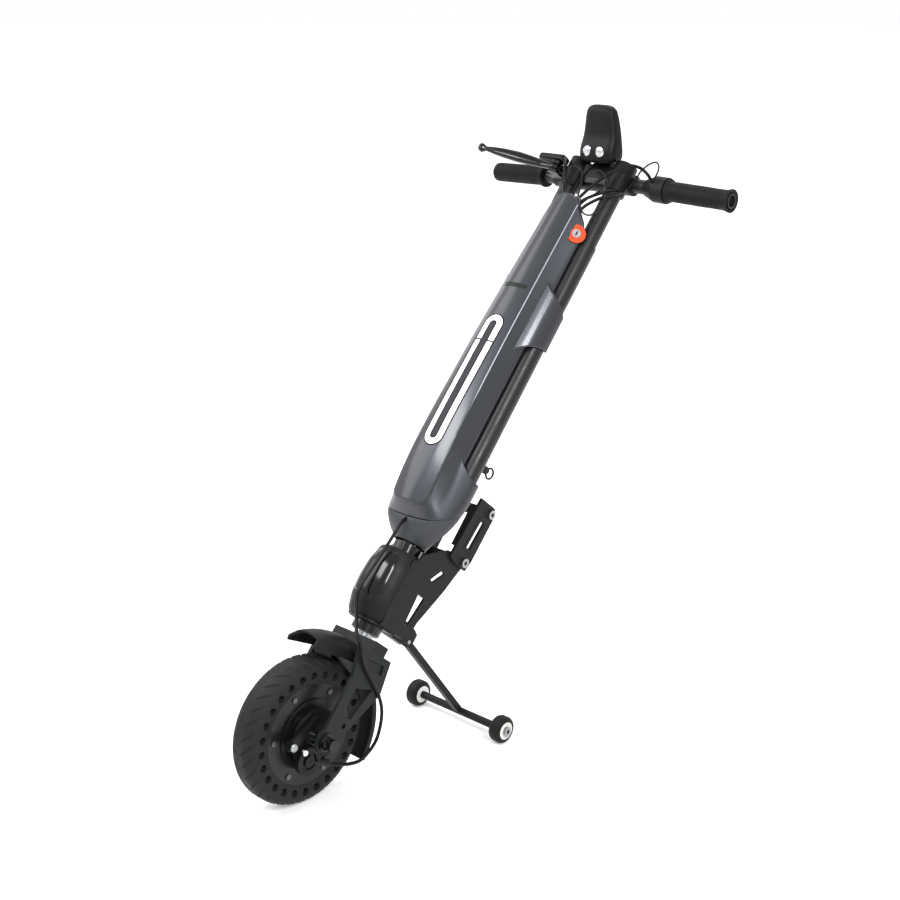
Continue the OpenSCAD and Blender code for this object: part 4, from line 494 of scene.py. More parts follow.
def case_line(height):
    """The crease's half width and front at a height: its stations under a Gaussian of 24 mm."""
    spread = np.linspace(-2.5, 2.5, 21)
    weight = np.exp(-(spread**2) / 2) / np.exp(-(spread**2) / 2).sum()
    at = np.asarray(height)[..., None] + SMOOTH * spread
    wide, front = (np.interp(at, CASE_SHARES[:, 0] * CASE_TOP, CASE_SHARES[:, k]) @ weight for k in (1, 2))
    return wide * CREASE_HALF, front * CREASE_FRONT


def crown(x, half, front):
    """The bowed front: a circle through both creases that stands 7 mm ahead of them in the middle."""
    radius = (half**2 + BOW**2) / (2 * BOW)
    return front + BOW - radius + np.sqrt(np.maximum(radius**2 - x**2, 0))


def case_front(height, share):
    """Half the front's section: shares 0 to 1 run over the bowed front, 1 to 2 down the cheek, and what is
    over 2 turns in behind it."""
    half, front = case_line(height)
    on_crown, on_cheek, turned = np.clip(share, 0, 1), np.clip(share - 1, 0, 1), np.maximum(share - 2, 0)
    x = half * on_crown + (CHEEK_X - half) * on_cheek - TURN_IN * turned
    ahead = np.where(share <= 1, crown(half * on_crown, half, front), front + (CHEEK_F - front) * on_cheek)
    return x, ahead - TURN_BACK * turned


def both_sides(x, ahead, height, last=None):
    """A right half's grids with their mirror image joined on, as one run from the left to the right."""
    signed = ((x, -1), (ahead, 1), (height, 1))
    return (np.concatenate([sign * grid[:, last:0:-1], grid], 1) for grid, sign in signed)


# The shares crowd towards the crease. The top edge's height hangs on x and x on the height, so they are
# worked out in turn, and the crease is then softened to its small radius.
share = np.concatenate([1 - (1 - np.linspace(0, 1, CROWN_STEPS)) ** CREASE_POWER,
                        1 + np.linspace(0, 1, CHEEK_STEPS)[1:] ** CREASE_POWER, [2.12, 2.3]])
low = np.where(share < 1, FRONT_LOW, FRONT_LOW + CORNER)
near_crease = np.clip(1 - np.abs(share - 1) * CREASE_HALF / CORNER, 0, 1)
low = low + CORNER * (1 - np.sqrt(1 - near_crease**2)) * (share <= 1)
top = np.full(len(share), TOP_GUESS)
for _ in range(6):
    top = np.interp(case_front(top, share)[0], TOP_EDGE[:, 0], TOP_EDGE[:, 1])
height = low + np.linspace(0, 1, ROWS)[:, None] * (top - low)
x, ahead, height = both_sides(*case_front(height, share), height)
x, ahead = softened(np.stack([x, ahead]), CREASE_ROUNDS)
shells = [(in_column(x, ahead, height), quads(*x.shape))]

# The foot is a second moulding, a skirt that comes round under the front and wraps both tubes.
# Its lower edge is level, and its upper edge laps the front's cheeks.
FOOT_LEVEL, TOE_H, TOE_F = 198.0, (161.6, 169, 179.2, 192, 205, 240), (34.5, 40.2, 49.2, 59.2, 69, 90)
FOOT_WING = np.array([[46.8, 32], [53.5, 23.6], [59.15, 15.4], [63.2, 9.6], [65, 4.5], [65.3, 0.6],
                      [65, -3], [62.3, -8], [57.9, -12], [48.1, -17], [40, -19.6], [29.9, -21.4],
                      [14, -21.4], [0, -21.4]])  # distance from the middle, front
FOOT_TOP = np.array([[-30, 251], [3.2, 251], [17.3, 255.8], [32, 269], [40, 284.6], [43, 292], [53, 260],
                     [60, 225]])  # front, height
FOOT_LAP_H, FOOT_LAP = (225, 235, 275, 300), (0.5, 0.5, -0.9, -0.9)
FOOT_BACK, FOOT_MEET, LOW_GUESS, HIGH_GUESS = 0.5, 2.0, 190.0, 250.0
FOOT_ROWS, FOOT_STEPS, WING_STEPS, WING_ROUNDS, FOOT_ROUND = 60, 260, 60, 6, (9.0, 4.5, 1.2)
wing = drawn_line(FOOT_WING, WING_STEPS, WING_ROUNDS)
foot_share = np.concatenate([share[share < 2], 2 + np.arange(WING_STEPS)])


def case_foot(height):
    """Half the foot's section: the front's own bow, cut back by the toe's curve, then the wing's outline."""
    half, front = case_line(height)
    crease = np.minimum(front, np.interp(height, TOE_H, TOE_F) - BOW)
    half = half + (CHEEK_X - half) * (front - crease) / (front - CHEEK_F)
    on_crown, on_cheek = np.clip(foot_share, 0, 1), np.clip(foot_share - 1, 0, 1)
    lap = np.interp(height, FOOT_LAP_H, FOOT_LAP)
    x = half * on_crown + (FOOT_WING[0, 0] - half) * on_cheek + lap * on_cheek
    meet, behind = np.minimum(FOOT_WING[0, 1], crease - FOOT_MEET), crease - FOOT_BACK
    ahead = np.where(foot_share <= 1, crown(half * on_crown, half, crease) - FOOT_BACK,
                     behind + (meet - behind) * on_cheek)
    on_wing = foot_share >= 2
    turn = np.clip(foot_share - 2, 0, WING_STEPS - 1).astype(int)
    return np.where(on_wing, wing[0][turn], x), np.where(on_wing, np.minimum(wing[1][turn], meet), ahead)


def rounded(loop, reach):
    """A closed loop spaced evenly and rounded by a Gaussian of so many mm, as a product over its waves."""
    step = np.hypot(*np.diff(loop[:2], axis=1, append=loop[:2, :1]))
    run = np.concatenate([[0], np.cumsum(step)])
    even = np.linspace(0, run[-1], FOOT_STEPS, endpoint=False)
    spaced = np.stack([np.interp(even, run, np.append(row, row[0])) for row in loop])
    wave = 2 * math.pi * np.fft.rfftfreq(FOOT_STEPS, run[-1] / FOOT_STEPS)
    return np.fft.irfft(np.fft.rfft(spaced) * np.exp(-((wave * reach) ** 2) / 2), FOOT_STEPS)


# Both edges' heights hang on how far ahead the section stands there, so small steps settle them.
low, top = np.full(len(foot_share), LOW_GUESS), np.full(len(foot_share), HIGH_GUESS)
for _ in range(40):
    low = 0.5 * low + 0.5 * (FOOT_LEVEL - case_foot(low)[1] * math.tan(LEAN))
    top = 0.7 * top + 0.3 * np.interp(case_foot(top)[1], FOOT_TOP[:, 0], FOOT_TOP[:, 1])
height = low + np.linspace(0, 1, FOOT_ROWS)[:, None] * (top - low)
x, ahead, height = both_sides(*case_foot(height), height, last=-2)
reach = np.interp(np.linspace(0, 1, FOOT_ROWS), (0, 0.3, 1), FOOT_ROUND)
loops = [rounded(row, row_reach) for row, row_reach in zip(np.stack([x, ahead, height], 1), reach)]
x, ahead, height = np.stack(loops, 1)
height[0] = FOOT_LEVEL - ahead[0] * math.tan(LEAN)
shells.append((in_column(x, ahead, height), quads(*x.shape, ring=True)))
foot_x, foot_ahead = x[0], ahead[0]

# A pair of small wings stands out half way up, where the case meets the tops of the fixed tubes.
# They belong to the front's moulding, and their upper and lower edges bow in a little.
WING_LOW, WING_DROP, WING_TOP, WING_RISE, WING_BOW = 477.0, 24.0, 540.0, 0.84, 3.0
WING_COLUMNS, WING_ROWS, MID_ROUNDS = 40, 24, 4
MID_WING = [[41, 38.6], [43.7, 35.4], [47.4, 31.4], [52.5, 27], [57.2, 19.84], [60.4, 13.6], [62.1, 8.96],
            [63.05, 4], [63.2, 0], [62.8, -4]]  # distance from the middle, front
x, ahead = drawn_line(MID_WING, WING_COLUMNS, MID_ROUNDS)
reach = np.clip((x - x[0]) / (x.max() - x[0]), 0, 1)
bow = WING_BOW * np.sin(math.pi * reach)
low = WING_LOW - WING_DROP * (1 - reach) + bow
top = WING_TOP + WING_RISE * ahead - bow
height = low + np.linspace(0, 1, WING_ROWS)[:, None] * (top - low)
shells += [(in_column(side * x, ahead, height), quads(*height.shape)[:, ::side]) for side in (1, -1)]

# A raked lid closes the case behind the front's top edge, where the cables go in.
# Its apron runs on down behind it and laps the rear shell.
LID = np.array([[24.2, 640, 43.0], [24.2, 667, 45.0], [42, 718, 22.5]])  # front, height, half width
LID_COLUMNS, LID_ROWS = 24, 60
across, along = np.meshgrid(np.linspace(-1, 1, LID_COLUMNS), np.linspace(0, 2, LID_ROWS))
ahead, height, lid_half = (np.interp(along, (0, 1, 2), LID[:, k]) for k in range(3))
shells.append((in_column(across * lid_half, ahead, height), quads(*along.shape)[:, ::-1]))

grey_paint = finish("metallic_grey_paint", "#34363b", "#383a3f", 0.32, 0.35, 0.003, cloud=90, spread=0.02,
                    Metallic=0.5, Specular_IOR_Level=0.15, Coat_Weight=0.4, Coat_Roughness=0.14)
case = mesh_piece("bowed_case", *gathered(shells), grey_paint)
wall = case.modifiers.new("moulded_wall", "SOLIDIFY")
wall.thickness, wall.offset = SHELL_T / 1000, -1
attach(case, "steering")
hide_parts("front_shell")

# Both creases are rolled to a fine bead, coloured pale as a painted highlight that draws a light line along
# them.
# The bead sinks into the crease at its foot.
BEAD_R, BEAD_LOW, BEAD_TOP, BEAD_FADE, BEAD_SINK, BEAD_BED, BEAD_IN = 0.9, 300.0, 704.0, 150.0, 0.8, 0.3, 0.7
BEAD_STEPS, BEAD_SIDES = 160, 12
ASKEW = (0.31, 0.83, 0.46)  # no bead or cable runs in this direction


def rod_grid(line, radius, sides=16):
    """A round rod along a line, closed at both ends, with its rings square to the line."""
    along = np.gradient(line, axis=0)
    along /= np.linalg.norm(along, axis=1)[:, None]
    side = np.cross(along, ASKEW)
    side /= np.linalg.norm(side, axis=1)[:, None]
    over = np.cross(along, side)
    angle = round_angles(sides)[:, None]
    line, side, over = (np.concatenate([g[:1], g, g[-1:]])[:, None] for g in (line, side, over))
    thick = np.full((len(line), 1, 1), radius / 1000)
    thick[[0, -1]] = 0
    return line + thick * (side * np.cos(angle) + over * np.sin(angle))


height = np.linspace(BEAD_LOW, BEAD_TOP, BEAD_STEPS)
half, front = case_line(height)
sink = BEAD_BED + BEAD_SINK * np.clip(1 - (height - BEAD_LOW) / BEAD_FADE, 0, 1)
lines = [in_column(side * (half - BEAD_IN * sink), front - sink, height) for side in (1, -1)]
# Painted highlight: the bead's pale colour stands in for the light its edge catches.
crease_highlight_paint = finish("painted_crease_highlight", "#9a9da4", "#a6a9b0", 0.35, 0.35, 0.003, cloud=90, spread=0.02,
                   Metallic=0.3, Specular_IOR_Level=0.2)
bead = ring_piece("crease_beads", [rod_grid(line, BEAD_R, BEAD_SIDES) for line in lines], crease_highlight_paint)
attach(bead, "steering")

# The base is a moulded tub that runs in from the foot's level seam to the column's round neck.
# Its ABS is left unpainted, with a faint moulded grain and less shine than the case.
NECK_R, NECK_H, SEAM, SEAM_DROP, TUB_F = 25.3, 134.8, 0.8, 0.6, 14.0
TUB_ROWS, TUB_DRAW = 30, (1.6, 1.6, 1.0)
turn = np.arctan2(foot_x, foot_ahead - TUB_F)
shrink = 1 - SEAM / np.hypot(foot_x, foot_ahead - TUB_F)
upper = np.stack([foot_x * shrink, TUB_F + (foot_ahead - TUB_F) * shrink,
                  FOOT_LEVEL - SEAM_DROP - foot_ahead * math.tan(LEAN)])
neck = np.stack([NECK_R * np.sin(turn), NECK_R * np.cos(turn), NECK_H + 0 * turn])
drawn_in = np.linspace(0, 1, TUB_ROWS)[:, None] ** np.array(TUB_DRAW)[:, None, None]
base = in_column(*(upper[:, None] * (1 - drawn_in) + neck[:, None] * drawn_in))
base_paint = finish("grey_moulded_abs", "#36383c", "#3b3d41", 0.4, 0.7, 0.01, cloud=60, spread=0.03,
                    Specular_IOR_Level=0.25)
tub = mesh_piece("column_base", base, quads(*base.shape[:2], ring=True)[:, ::-1], base_paint)
wall = tub.modifiers.new("moulded_wall", "SOLIDIFY")
wall.thickness, wall.offset = SHELL_T / 1000, -1
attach(tub, "steering")
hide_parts("base_shell")
coat(grey_paint, "rear_shell")

# Light strip: a long loop of opal light guide pressed into the bowed front, in a thin black gasket.
# It glows white by day and comes in two lengths, with a joint on each leg. A dull inlay fills the loop.
STRIP_LOW, STRIP_TOP, STRIP_R, STRIP_W, STRIP_PROUD = 272.0, 494.0, 11.5, 10.0, 0.5
GASKET_W, GASKET_PROUD, INLAY_LAP, INLAY_PROUD = 14.4, 0.25, 0.5, 0.2
JOINT_H, JOINT_GAP = 449.6, 2.4
STRAIGHT, ARC = STRIP_TOP - STRIP_LOW - 2 * STRIP_R - STRIP_W, math.pi * STRIP_R
BOTTOM, LENGTH = STRIP_LOW + STRIP_W / 2 + STRIP_R, 2 * (STRAIGHT + ARC)
WHOLE = [(0, LENGTH - 1e-6)]
BAND_STEPS = 300
BAND_ACROSS = np.array([0, 0.03, 0.1, 0.5, 0.9, 0.97, 1])[:, None]
BAND_LIFT = np.array([-1.5, 0.55, 1, 1, 1, 0.55, -1.5])[:, None]


def on_front(x, height, proud):
    """A point of the bowed front, standing proud of it by so many mm."""
    half, front = case_line(height)
    return in_column(x, crown(x, half, front) + proud, height)


def loop_band(name, inner, outer, proud, material, spans):
    """A band along a stadium between two radii, in spans of its length from the right leg's foot: its section
    is a flat strip whose edges turn down into the front."""
    radius = inner + BAND_ACROSS * (outer - inner)
    grids = []
    for first, last in spans:
        run = np.linspace(first, last, BAND_STEPS) % LENGTH
        on_top, on_left, on_foot = run - STRAIGHT, run - STRAIGHT - ARC, run - 2 * STRAIGHT - ARC
        turn = (np.clip(on_top, 0, ARC) + np.clip(on_foot, 0, ARC)) / STRIP_R
        going = np.clip(run, 0, STRAIGHT) - np.clip(on_left, 0, STRAIGHT)
        grid = on_front(radius * np.cos(turn), BOTTOM + going + radius * np.sin(turn), BAND_LIFT * proud)
        grids.append(grid.transpose(1, 0, 2))
    piece = mesh_piece(name, *gathered([(grid, quads(*grid.shape[:2])) for grid in grids]), material)
    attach(piece, "steering")
    return piece


opal = finish("opal_light_guide", "#f6f7f9", "#ffffff", 0.25, 2, 0.003, Emission_Color=(1, 1, 1, 1),
              Emission_Strength=0.35)
gasket_rubber = finish("black_gasket_rubber", "#101011", "#161617", 0.6, 0.8, 0.01, Specular_IOR_Level=0.15)
joint_right, joint_left = JOINT_H - BOTTOM, 2 * STRAIGHT + ARC - (JOINT_H - BOTTOM)
spans = [(joint_right + JOINT_GAP / 2, joint_left - JOINT_GAP / 2),
         (joint_left + JOINT_GAP / 2, joint_right + LENGTH - JOINT_GAP / 2)]
strip = loop_band("light_guide", STRIP_R - STRIP_W / 2, STRIP_R + STRIP_W / 2, STRIP_PROUD, opal, spans)
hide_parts("light_strip")
gasket = loop_band("strip_gasket", STRIP_R - GASKET_W / 2, STRIP_R + GASKET_W / 2, GASKET_PROUD,
                   gasket_rubber, WHOLE)
inlay_abs = finish("dark_grey_abs", "#2a2a2f", "#2f2f34", 0.5, 0.8, 0.01, Specular_IOR_Level=0.15)
inlay = loop_band("strip_inlay", 0.0, STRIP_R - GASKET_W / 2 + INLAY_LAP, INLAY_PROUD, inlay_abs, WHOLE)

# Level window: a smoked acrylic bar over the charge lamps, flush with the front.
# Its edges turn down into the shell, more sharply at its ends.
WINDOW_HALF, WINDOW_LOW, WINDOW_TOP, WINDOW_PROUD, WINDOW_SINK = 22.0, 544.0, 553.0, 0.35, 1.2
WINDOW_STEPS, WINDOW_EDGES = (41, 9), (40, 8)
x, height = np.meshgrid(*(np.linspace(-1, 1, steps) for steps in WINDOW_STEPS))
edge = np.maximum(np.abs(x) ** WINDOW_EDGES[0], np.abs(height) ** WINDOW_EDGES[1])
window = on_front(x * WINDOW_HALF, (WINDOW_LOW + WINDOW_TOP) / 2 + height * (WINDOW_TOP - WINDOW_LOW) / 2,
                  WINDOW_PROUD - WINDOW_SINK * edge)
smoke = finish("smoked_acrylic", "#161d19", "#1d2520", 0.4, 3, 0.001, spread=0.02, Specular_IOR_Level=0.15)
window = mesh_piece("charge_window", window, quads(*x.shape), smoke)
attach(window, "steering")
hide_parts("level_window")

# Lock: an orange moulded bezel round a nickel-plated barrel, let into the front's right cheek.
# The keyway is a shallow black slot that paints the shade of the deep keyhole. Behind it the case holds the
# wrapped battery pack and the controller.
orange = finish("orange_moulded_abs", "#c23c08", "#cc430b", 0.38, 1, 0.008, Specular_IOR_Level=0.25)
coat(orange, "lock_bezel")
nickel = finish("nickel_plated_barrel", "#8b8d8f", "#9fa0a1", 0.4, 1, 0.01, Specular_IOR_Level=0.25)
coat(nickel, "key_barrel")
KEY_LONG, KEY_WIDE, KEY_DEEP, KEY_LIFT, KEY_SIDES = 7.6, 2.4, 0.5, 0.06, 32
key_turn = next(j for j in frame["record"]["behaviour"]["joints"] if j["name"] == "key_turn")
out, middle = np.array(key_turn["axis"]), np.array(key_turn["pos_m"])
face = middle + out * ((mesh_points("key_barrel") / 1000 - middle) @ out).max()
across = np.cross(out, (0, math.sin(LEAN), math.cos(LEAN)))
across /= np.linalg.norm(across)
turn = round_angles(KEY_SIDES)
oval_x = KEY_WIDE / 2 * np.cos(turn)
oval_y = KEY_WIDE / 2 * np.sin(turn) + np.sign(np.sin(turn)) * (KEY_LONG - KEY_WIDE) / 2
rim = oval_x[:, None] * across + oval_y[:, None] * np.cross(out, across)
sunk = np.outer([-KEY_DEEP, -KEY_DEEP, KEY_LIFT, KEY_LIFT], out)[:, None]
slot = face + (np.stack([0 * rim, rim, rim, 0 * rim]) + sunk) / 1000
# Painted shade: the slot's black stands in for the shade inside the keyhole.
keyway_painted_shade = ring_piece("keyway_painted_shade", [slot], gasket_rubber, smooth=False)
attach(keyway_painted_shade, "key")
shrink_wrap = finish("blue_shrink_wrap", "#20304a", "#2a3c5a", 0.35, 2, 0.02)
coat(shrink_wrap, "battery_pack")
coat(nylon, "controller")


# Handlebar: a swept tube in a cast head, with moulded rubber grips pushed on to it.
# The rubber is matt, with fine rings about 2 mm apart and a collar that stops the hand.
coat(cast_black, "bar_head", "lever_perch")
BAR_H, BAR_BACK, BAR_SWEEP, BAR_START = 783.0, 17.091, math.radians(3), 65.486
BAR_R, GRIP_R, COLLAR_R, GRIP_FROM, GRIP_TO = 11.1, 15.3, 17.9, 53.74, 165.74
RIB, RIB_DEEP, RIB_FROM, RIB_TO, RIB_FADE = 2.2, 0.16, GRIP_FROM + 11, GRIP_TO - 10, 3.0
GRIP_ROWS, GRIP_ROUNDS, GRIP_SIDES = 420, 5, 72
COLLAR = [[0, BAR_R], [0, COLLAR_R - 0.6], [1.2, COLLAR_R], [4.4, COLLAR_R], [6.4, GRIP_R + 0.7], [9, GRIP_R],
          [30, GRIP_R + 0.2], [60, GRIP_R + 0.2], [88, GRIP_R]]  # along the grip, radius
CLOSED_END = [[104, GRIP_R], [109, GRIP_R - 0.5], [111.4, GRIP_R - 2.6], [112, GRIP_R - 5], [112, 4],
              [112, 0]]
FLARED_END = [[99, GRIP_R], [105, GRIP_R + 0.8], [110, COLLAR_R - 0.2], [112, COLLAR_R - 0.5],
              [111.6, COLLAR_R - 3], [109, COLLAR_R - 6], [107.5, 6], [107, 0]]
grip_rubber = finish("moulded_grip_rubber", "#0d0d0e", "#131313", 0.6, 0.5, 0.03, Specular_IOR_Level=0.13)


def on_bar(side, along, radius, angle):
    """Bar coordinates to metres: along the swept end from its bend, and round it from the rider's side."""
    back = radius * np.cos(angle)
    x = BAR_START + along * math.cos(BAR_SWEEP) - back * math.sin(BAR_SWEEP)
    rear = BAR_BACK + along * math.sin(BAR_SWEEP) + back * math.cos(BAR_SWEEP)
    return in_column(side * x, -rear, BAR_H + radius * np.sin(angle))


def turned_grip(name, side, profile, node, body):
    """A grip turned from its profile, with rings cos(2 pi along / 2.2 mm) where its body is plain."""
    along, radius = drawn_line(np.array(profile) + (GRIP_FROM, 0), GRIP_ROWS, GRIP_ROUNDS)
    plain = np.clip((along - RIB_FROM) / RIB_FADE, 0, 1) * np.clip((RIB_TO - along) / RIB_FADE, 0, 1)
    radius = radius - RIB_DEEP * plain * (1 - np.cos(2 * math.pi * along / RIB))
    grid = on_bar(side, along[:, None], radius[:, None], round_angles(GRIP_SIDES))
    grip = ring_piece(name, [grid], grip_rubber)
    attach(grip, body)
    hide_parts(node)


turned_grip("left_hand_grip", -1, COLLAR + CLOSED_END, "left_grip", "handlebar_unit")
turned_grip("twist_hand_grip", 1, COLLAR + FLARED_END, "throttle_grip", "twist_grip")
coat(nylon, "throttle_housing")

# Brake lever: a forged alloy blade, waisted behind its pivot and drawn out to a safety ball.
# It is painted gloss black like the nose panel, and the paint thins to a soft shine on its round edges.
# Its section is a rounded square, |cos| ** 3 + |sin| ** 3 = 1, and it bows between the pivot and the ball.
PIVOT_X, PIVOT_OUT, BAR_PIVOT = -76.0, 37.1, 17.0
LEVER_TILT, LEVER_ANGLE = math.radians(9.4), math.radians(22)
BLADE, BLADE_BOW, BLADE_ROWS, BLADE_SIDES = 127.0, 2.5, 240, 36
LEVER_SHAPE = np.array([[-9, 0, 0], [-8.4, 4, 3], [-4, 8.2, 4.4], [2, 8.8, 4.6], [10, 7, 5], [22, 5, 6],
                        [40, 5.6, 7.4], [62, 6.6, 8.4], [86, 6, 7.4], [104, 4.8, 5.8], [115, 3.8, 4.2],
                        [120, 3.4, 3.4], [122.2, 4.9, 4.9], [125, 6.4, 6.4], [127, 7, 7], [129, 6.7, 6.7],
                        [131.6, 5.2, 5.2], [133.4, 2.8, 2.8],
                        [134, 0, 0]])  # distance from the pivot, half width, half height
at = np.linspace(LEVER_SHAPE[0, 0], LEVER_SHAPE[-1, 0], BLADE_ROWS)
wide, high = (np.interp(at, LEVER_SHAPE[:, 0], LEVER_SHAPE[:, k])[:, None] for k in (1, 2))
angle = round_angles(BLADE_SIDES)
soft = (np.abs(np.cos(angle)) ** 3 + np.abs(np.sin(angle)) ** 3) ** (1 / 3)
bow = BLADE_BOW * np.sin(math.pi * np.clip(at / BLADE, 0, 1))[:, None]
out, side = -at[:, None], wide * np.cos(angle) / soft - bow
x = out * math.cos(LEVER_ANGLE) - side * math.sin(LEVER_ANGLE)
rear = out * math.sin(LEVER_ANGLE) + side * math.cos(LEVER_ANGLE) - PIVOT_OUT
up = high * np.sin(angle) / soft
blade = in_column(PIVOT_X + x, -(BAR_PIVOT + rear * math.cos(LEVER_TILT) - up * math.sin(LEVER_TILT)),
                  BAR_H + rear * math.sin(LEVER_TILT) + up * math.cos(LEVER_TILT))
lever = ring_piece("forged_lever", [blade], gloss_black)
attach(lever, "lever")
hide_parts("brake_lever")

# The lever's perch carries a cast cap over the pivot, with the head's satin skin.
# It is a block with rounded edges, drawn in at its ends.
CAP_X, CAP_F, CAP_H, CAP_HALF = (-114.0, -60.0), 19.0, 792.6, (9.5, 5.6)
CAP_ROWS, CAP_SIDES, CAP_ROUND, CAP_END = 40, 64, 0.5, 14


def squared_ring(count, power):
    """A ring of so many points squared off to a superellipse: sign(g) |g| ** power of its cosine and sine."""
    angle = round_angles(count)
    return (np.sign(g) * np.abs(g) ** power for g in (np.cos(angle), np.sin(angle)))


at = np.concatenate([[0], (1 - np.cos(np.linspace(0, math.pi, CAP_ROWS))) / 2, [1]])[:, None]
end = np.clip(1 - np.abs(2 * at - 1) ** CAP_END, 0, 1) ** 0.5
round_f, round_h = squared_ring(CAP_SIDES, CAP_ROUND)
cap = in_column(CAP_X[0] + (CAP_X[1] - CAP_X[0]) * at, CAP_F + CAP_HALF[0] * end * round_f,
                CAP_H + CAP_HALF[1] * end * round_h)
cap = ring_piece("perch_cap", [cap], cast_black)
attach(cap, "handlebar_unit")

# Display pod: a moulded hood that leans on the head, full below where two lamps look out of it.
# Its nylon is darker and finer than the mudguards', and its rear is flat for the display and its buttons.
POD_Y, POD_Z, POD_REAR, POD_ROUND = 352.4, 844.5, 17.0, 0.62
POD_ROWS, POD_ROUNDS, POD_SIDES = 120, 14, 96
POD_SHAPE = [[0, 22, 11, 0], [1.5, 28, 16, 0], [5, 32.5, 19.4, 0], [10, 34, 20.8, 0], [20, 34, 20.8, 0],
             [28, 33.2, 19, 0.6], [36, 32.2, 16.6, 1.8], [46, 31, 15, 2.4], [60, 29, 14.2, 1.4],
             [72, 27, 13.4, 0], [80, 25, 12, -1], [85, 21, 9, -1.6], [87.4, 15, 5, -2],
             [87.9, 7, 1.8, -2]]  # height, half width, half depth, shift to the rear
z, wide, deep, shift = (row[:, None] for row in drawn_line(POD_SHAPE, POD_ROWS, POD_ROUNDS))
round_x, round_y = squared_ring(POD_SIDES, POD_ROUND)
pod = metres(wide * round_x, POD_Y + np.minimum(shift + deep * round_y, POD_REAR), POD_Z + z)
below, above = (metres(np.zeros((1, POD_SIDES)), POD_Y, POD_Z + pole) for pole in (z[0], z[-1]))
pod_nylon = finish("fine_black_nylon", "#0b0b0c", "#101011", 0.46, 0.9, 0.02, Specular_IOR_Level=0.14)
hood = ring_piece("display_hood", [np.concatenate([below, pod, above])], pod_nylon)
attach(hood, "handlebar_unit")
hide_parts("display_pod")
coat(nylon, "power_button", "mode_button")

# Its foot is a moulded block that stands on the head between the tubes.
# A smoked glass covers the display on the rider's side.
POD_FOOT_HALF, POD_FOOT_F, POD_FOOT_H, POD_FOOT_ROUND = (15.5, 8.3), 0.5, (793.0, 816.0), 0.3
GLASS_LOW, GLASS_TOP, GLASS_TURN = 41.0, 76.0, math.radians(52)
GLASS_PROUD, GLASS_SINK, GLASS_EDGE = 0.4, 1.2, 30
inset = np.array([0, 1, 1, 0])[:, None]
square = squared_ring(POD_SIDES, POD_FOOT_ROUND)
block_x, block_f = (half * inset * g for half, g in zip(POD_FOOT_HALF, square))
foot = in_column(block_x, POD_FOOT_F + block_f, np.repeat(POD_FOOT_H, 2)[:, None])
foot = ring_piece("display_foot", [foot], nylon, smooth=False)
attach(foot, "handlebar_unit")
on_rear = np.abs(round_angles(POD_SIDES) - math.pi / 2) < GLASS_TURN
glass = pod[((z > GLASS_LOW) & (z < GLASS_TOP))[:, 0]][:, on_rear]
u, v = np.meshgrid(*(np.linspace(-1, 1, steps) for steps in glass.shape[1::-1]))
lift = GLASS_PROUD - GLASS_SINK * np.maximum(np.abs(u), np.abs(v)) ** GLASS_EDGE
glass = glass + metres(0, lift, 0)
glass = mesh_piece("display_glass", glass, quads(*glass.shape[:2])[:, ::-1], smoke)
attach(glass, "handlebar_unit")

# Each lamp is a bowl of chromed plastic, faceted so that it sparkles, behind a clear coat.
# The facets are drawn 1.6 mm across, a little coarser than they are, so that they show.
LAMP_X, LAMP_Z, LAMP_R, LAMP_FACE, LAMP_PROUD = 11.6, 17.6, 8.6, 20.4, 1.2
LAMP_BACK, LAMP_CURVE, LAMP_RINGS, LAMP_SIDES = 2.2, 2.5, 14, 48
# Its colour is mottled from dark to near white in spots about 3 mm across: painted glints that add to the
# facets' sparkle.
chrome_with_painted_glints = finish("chromed_reflector_painted_glints", "#3c4048", "#f4f6fa", 0.12, 1.6, 0.25, cloud=3, spread=0.06,
                Metallic=0.85, Coat_Weight=0.6, Coat_Roughness=0.03)
radius, angle = np.linspace(0, 1, LAMP_RINGS)[:, None], round_angles(LAMP_SIDES)
face = POD_Y - LAMP_FACE + LAMP_BACK * radius**LAMP_CURVE - LAMP_PROUD
domes = [metres(x + LAMP_R * radius * np.cos(angle), face, LAMP_R * radius * np.sin(angle) + POD_Z + LAMP_Z)
         for x in (LAMP_X, -LAMP_X)]
lamps = ring_piece("lamp_domes", domes, chrome_with_painted_glints)
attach(lamps, "handlebar_unit")
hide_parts("lamp_lenses")


# Cables: brake wire in a 5 mm lined housing and electric leads, all in black PVC with a dull shine.
# Each runs as a smooth curve through the points of its route.
CABLE_R, THIN_R = 2.5, 1.3
BRAKE_ROUTE = [(3, 30, 168), (3, 37, 161), (4, 42.5, 150), (4, 44, 136), (5, 46.5, 120), (5, 50, 95),
               (5, 55, 64), (6, 58, 37), (12, 53, 14), (25, 53, -4), (42, 60, -20), (56.5, 60.5, -31),
               (61.5, 52, -44), (61, 36, -55), (61, 20, -63), (61, 2, -70), (60, -24.6, -82), (58, -46, -97),
               (56, -61, -118), (54.5, -68, -142), (51, -62, -170), (47, -46, -184), (43, -28, -192),
               (41, -16, -196), (41, -8, -197)]  # in column coordinates, as all the routes are
LEVER_ROUTE = [(-69, -2, 783), (-65, 9, 786), (-61, 22, 791), (-52, 33, 788), (-40, 40, 772), (-28, 41, 750),
               (-18, 38, 728), (-13, 37, 712), (-12, 37, 698), (-12, 37, 682)]
THROTTLE_ROUTE = [(100, 3, 783), (97, 14, 787), (86, 24, 791), (70, 31, 788), (52, 35, 774), (35, 37, 752),
                  (21, 37, 730), (13, 37, 712), (12, 37, 698), (12, 37, 682)]
DISPLAY_ROUTE = [(0, 20, 792), (0, 27, 782), (0, 33, 766), (0, 36, 744), (0, 37, 724), (0, 37, 710),
                 (0, 37, 696), (0, 37, 682)]
THICK_ROUTES = [[(13, 37, 684), (15, 38, 698), (24, 39, 712), (36, 38, 723), (49, 32, 736), (56, 20, 748),
                 (56, 8, 756)],
                [(22, 33, 676), (25, 36, 690), (35, 38, 706), (48, 37, 719), (60, 31, 733), (64, 18, 746),
                 (60, 6, 756)]]
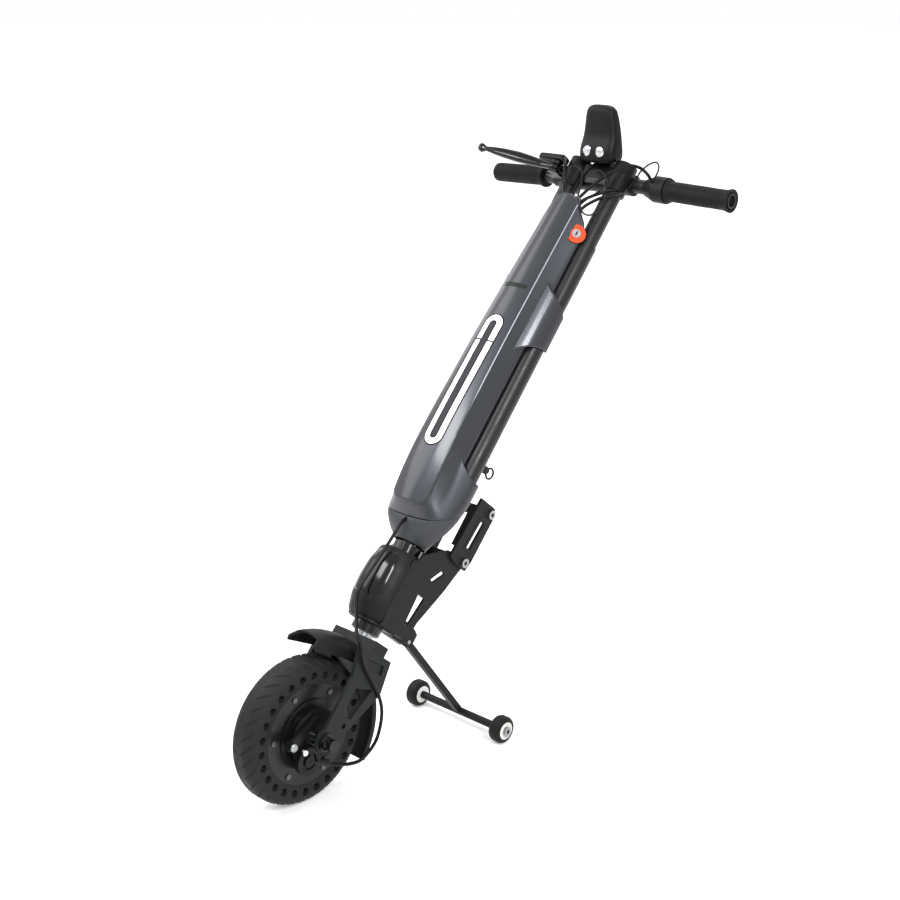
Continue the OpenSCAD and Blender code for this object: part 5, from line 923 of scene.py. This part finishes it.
THIN_ROUTES = [[(-8, 37, 684), (-8, 40, 706), (-10, 45, 728), (-19, 48, 745), (-21, 48, 758), (-12, 48, 766),
                (2, 48, 762), (12, 47, 748), (15, 42, 726), (14, 37, 706), (14, 37, 686)],
               [(20, 20, 776), (22, 36, 768), (26, 46, 763), (37, 48, 764), (53, 47, 755), (58, 45, 739),
                (47, 43, 727), (32, 40, 714), (22, 37, 700), (20, 36, 684)],
               [(20, 35, 684), (24, 39, 699), (32, 41, 699), (42, 41, 692), (54, 40, 691), (60, 38, 701),
                (56, 34, 719), (52, 24, 738), (50, 8, 752)],
               [(104, 4, 786), (108, 9, 798), (104, 10, 808), (96, 10, 812), (86, 10, 806), (79, 10, 795),
                (75, 8, 784), (66, 2, 774), (56, -4, 768)]]


def cable_line(route, steps=12):
    """A Catmull-Rom curve through a route, in metres: each span is a cubic of its two points and those
    before and after them, in so many steps."""
    knots = in_column(*np.array(route, float).T)
    knots = np.concatenate([[2 * knots[0] - knots[1]], knots, [2 * knots[-1] - knots[-2]]])
    t = np.linspace(0, 1, steps, endpoint=False)[None, :, None]
    a, b, c, d = (knots[i : len(knots) - 3 + i, None] for i in range(4))
    curve = (2 * b + (c - a) * t + (2 * a - 5 * b + 4 * c - d) * t**2 + (3 * b - a - 3 * c + d) * t**3) / 2
    return np.concatenate([curve.reshape(-1, 3), knots[-2:-1]])


jacket = finish("black_pvc_jacket", "#070708", "#0c0c0d", 0.36, 1.2, 0.01, Specular_IOR_Level=0.14)
line = cable_line(BRAKE_ROUTE)
brake_line = ring_piece("brake_housing", [rod_grid(line, CABLE_R)], jacket)
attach(brake_line, "steering")
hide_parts("brake_cable")

routes = [(route, CABLE_R) for route in (LEVER_ROUTE, THROTTLE_ROUTE, DISPLAY_ROUTE, *THICK_ROUTES)]
routes += [(route, THIN_R) for route in THIN_ROUTES]
leads = ring_piece("bar_leads", [rod_grid(cable_line(route), thick) for route, thick in routes], jacket)
tuple(in_column(0, 37, 705))
tuple(in_column(0, 37, 765))
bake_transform(leads)
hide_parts("upper_cables")
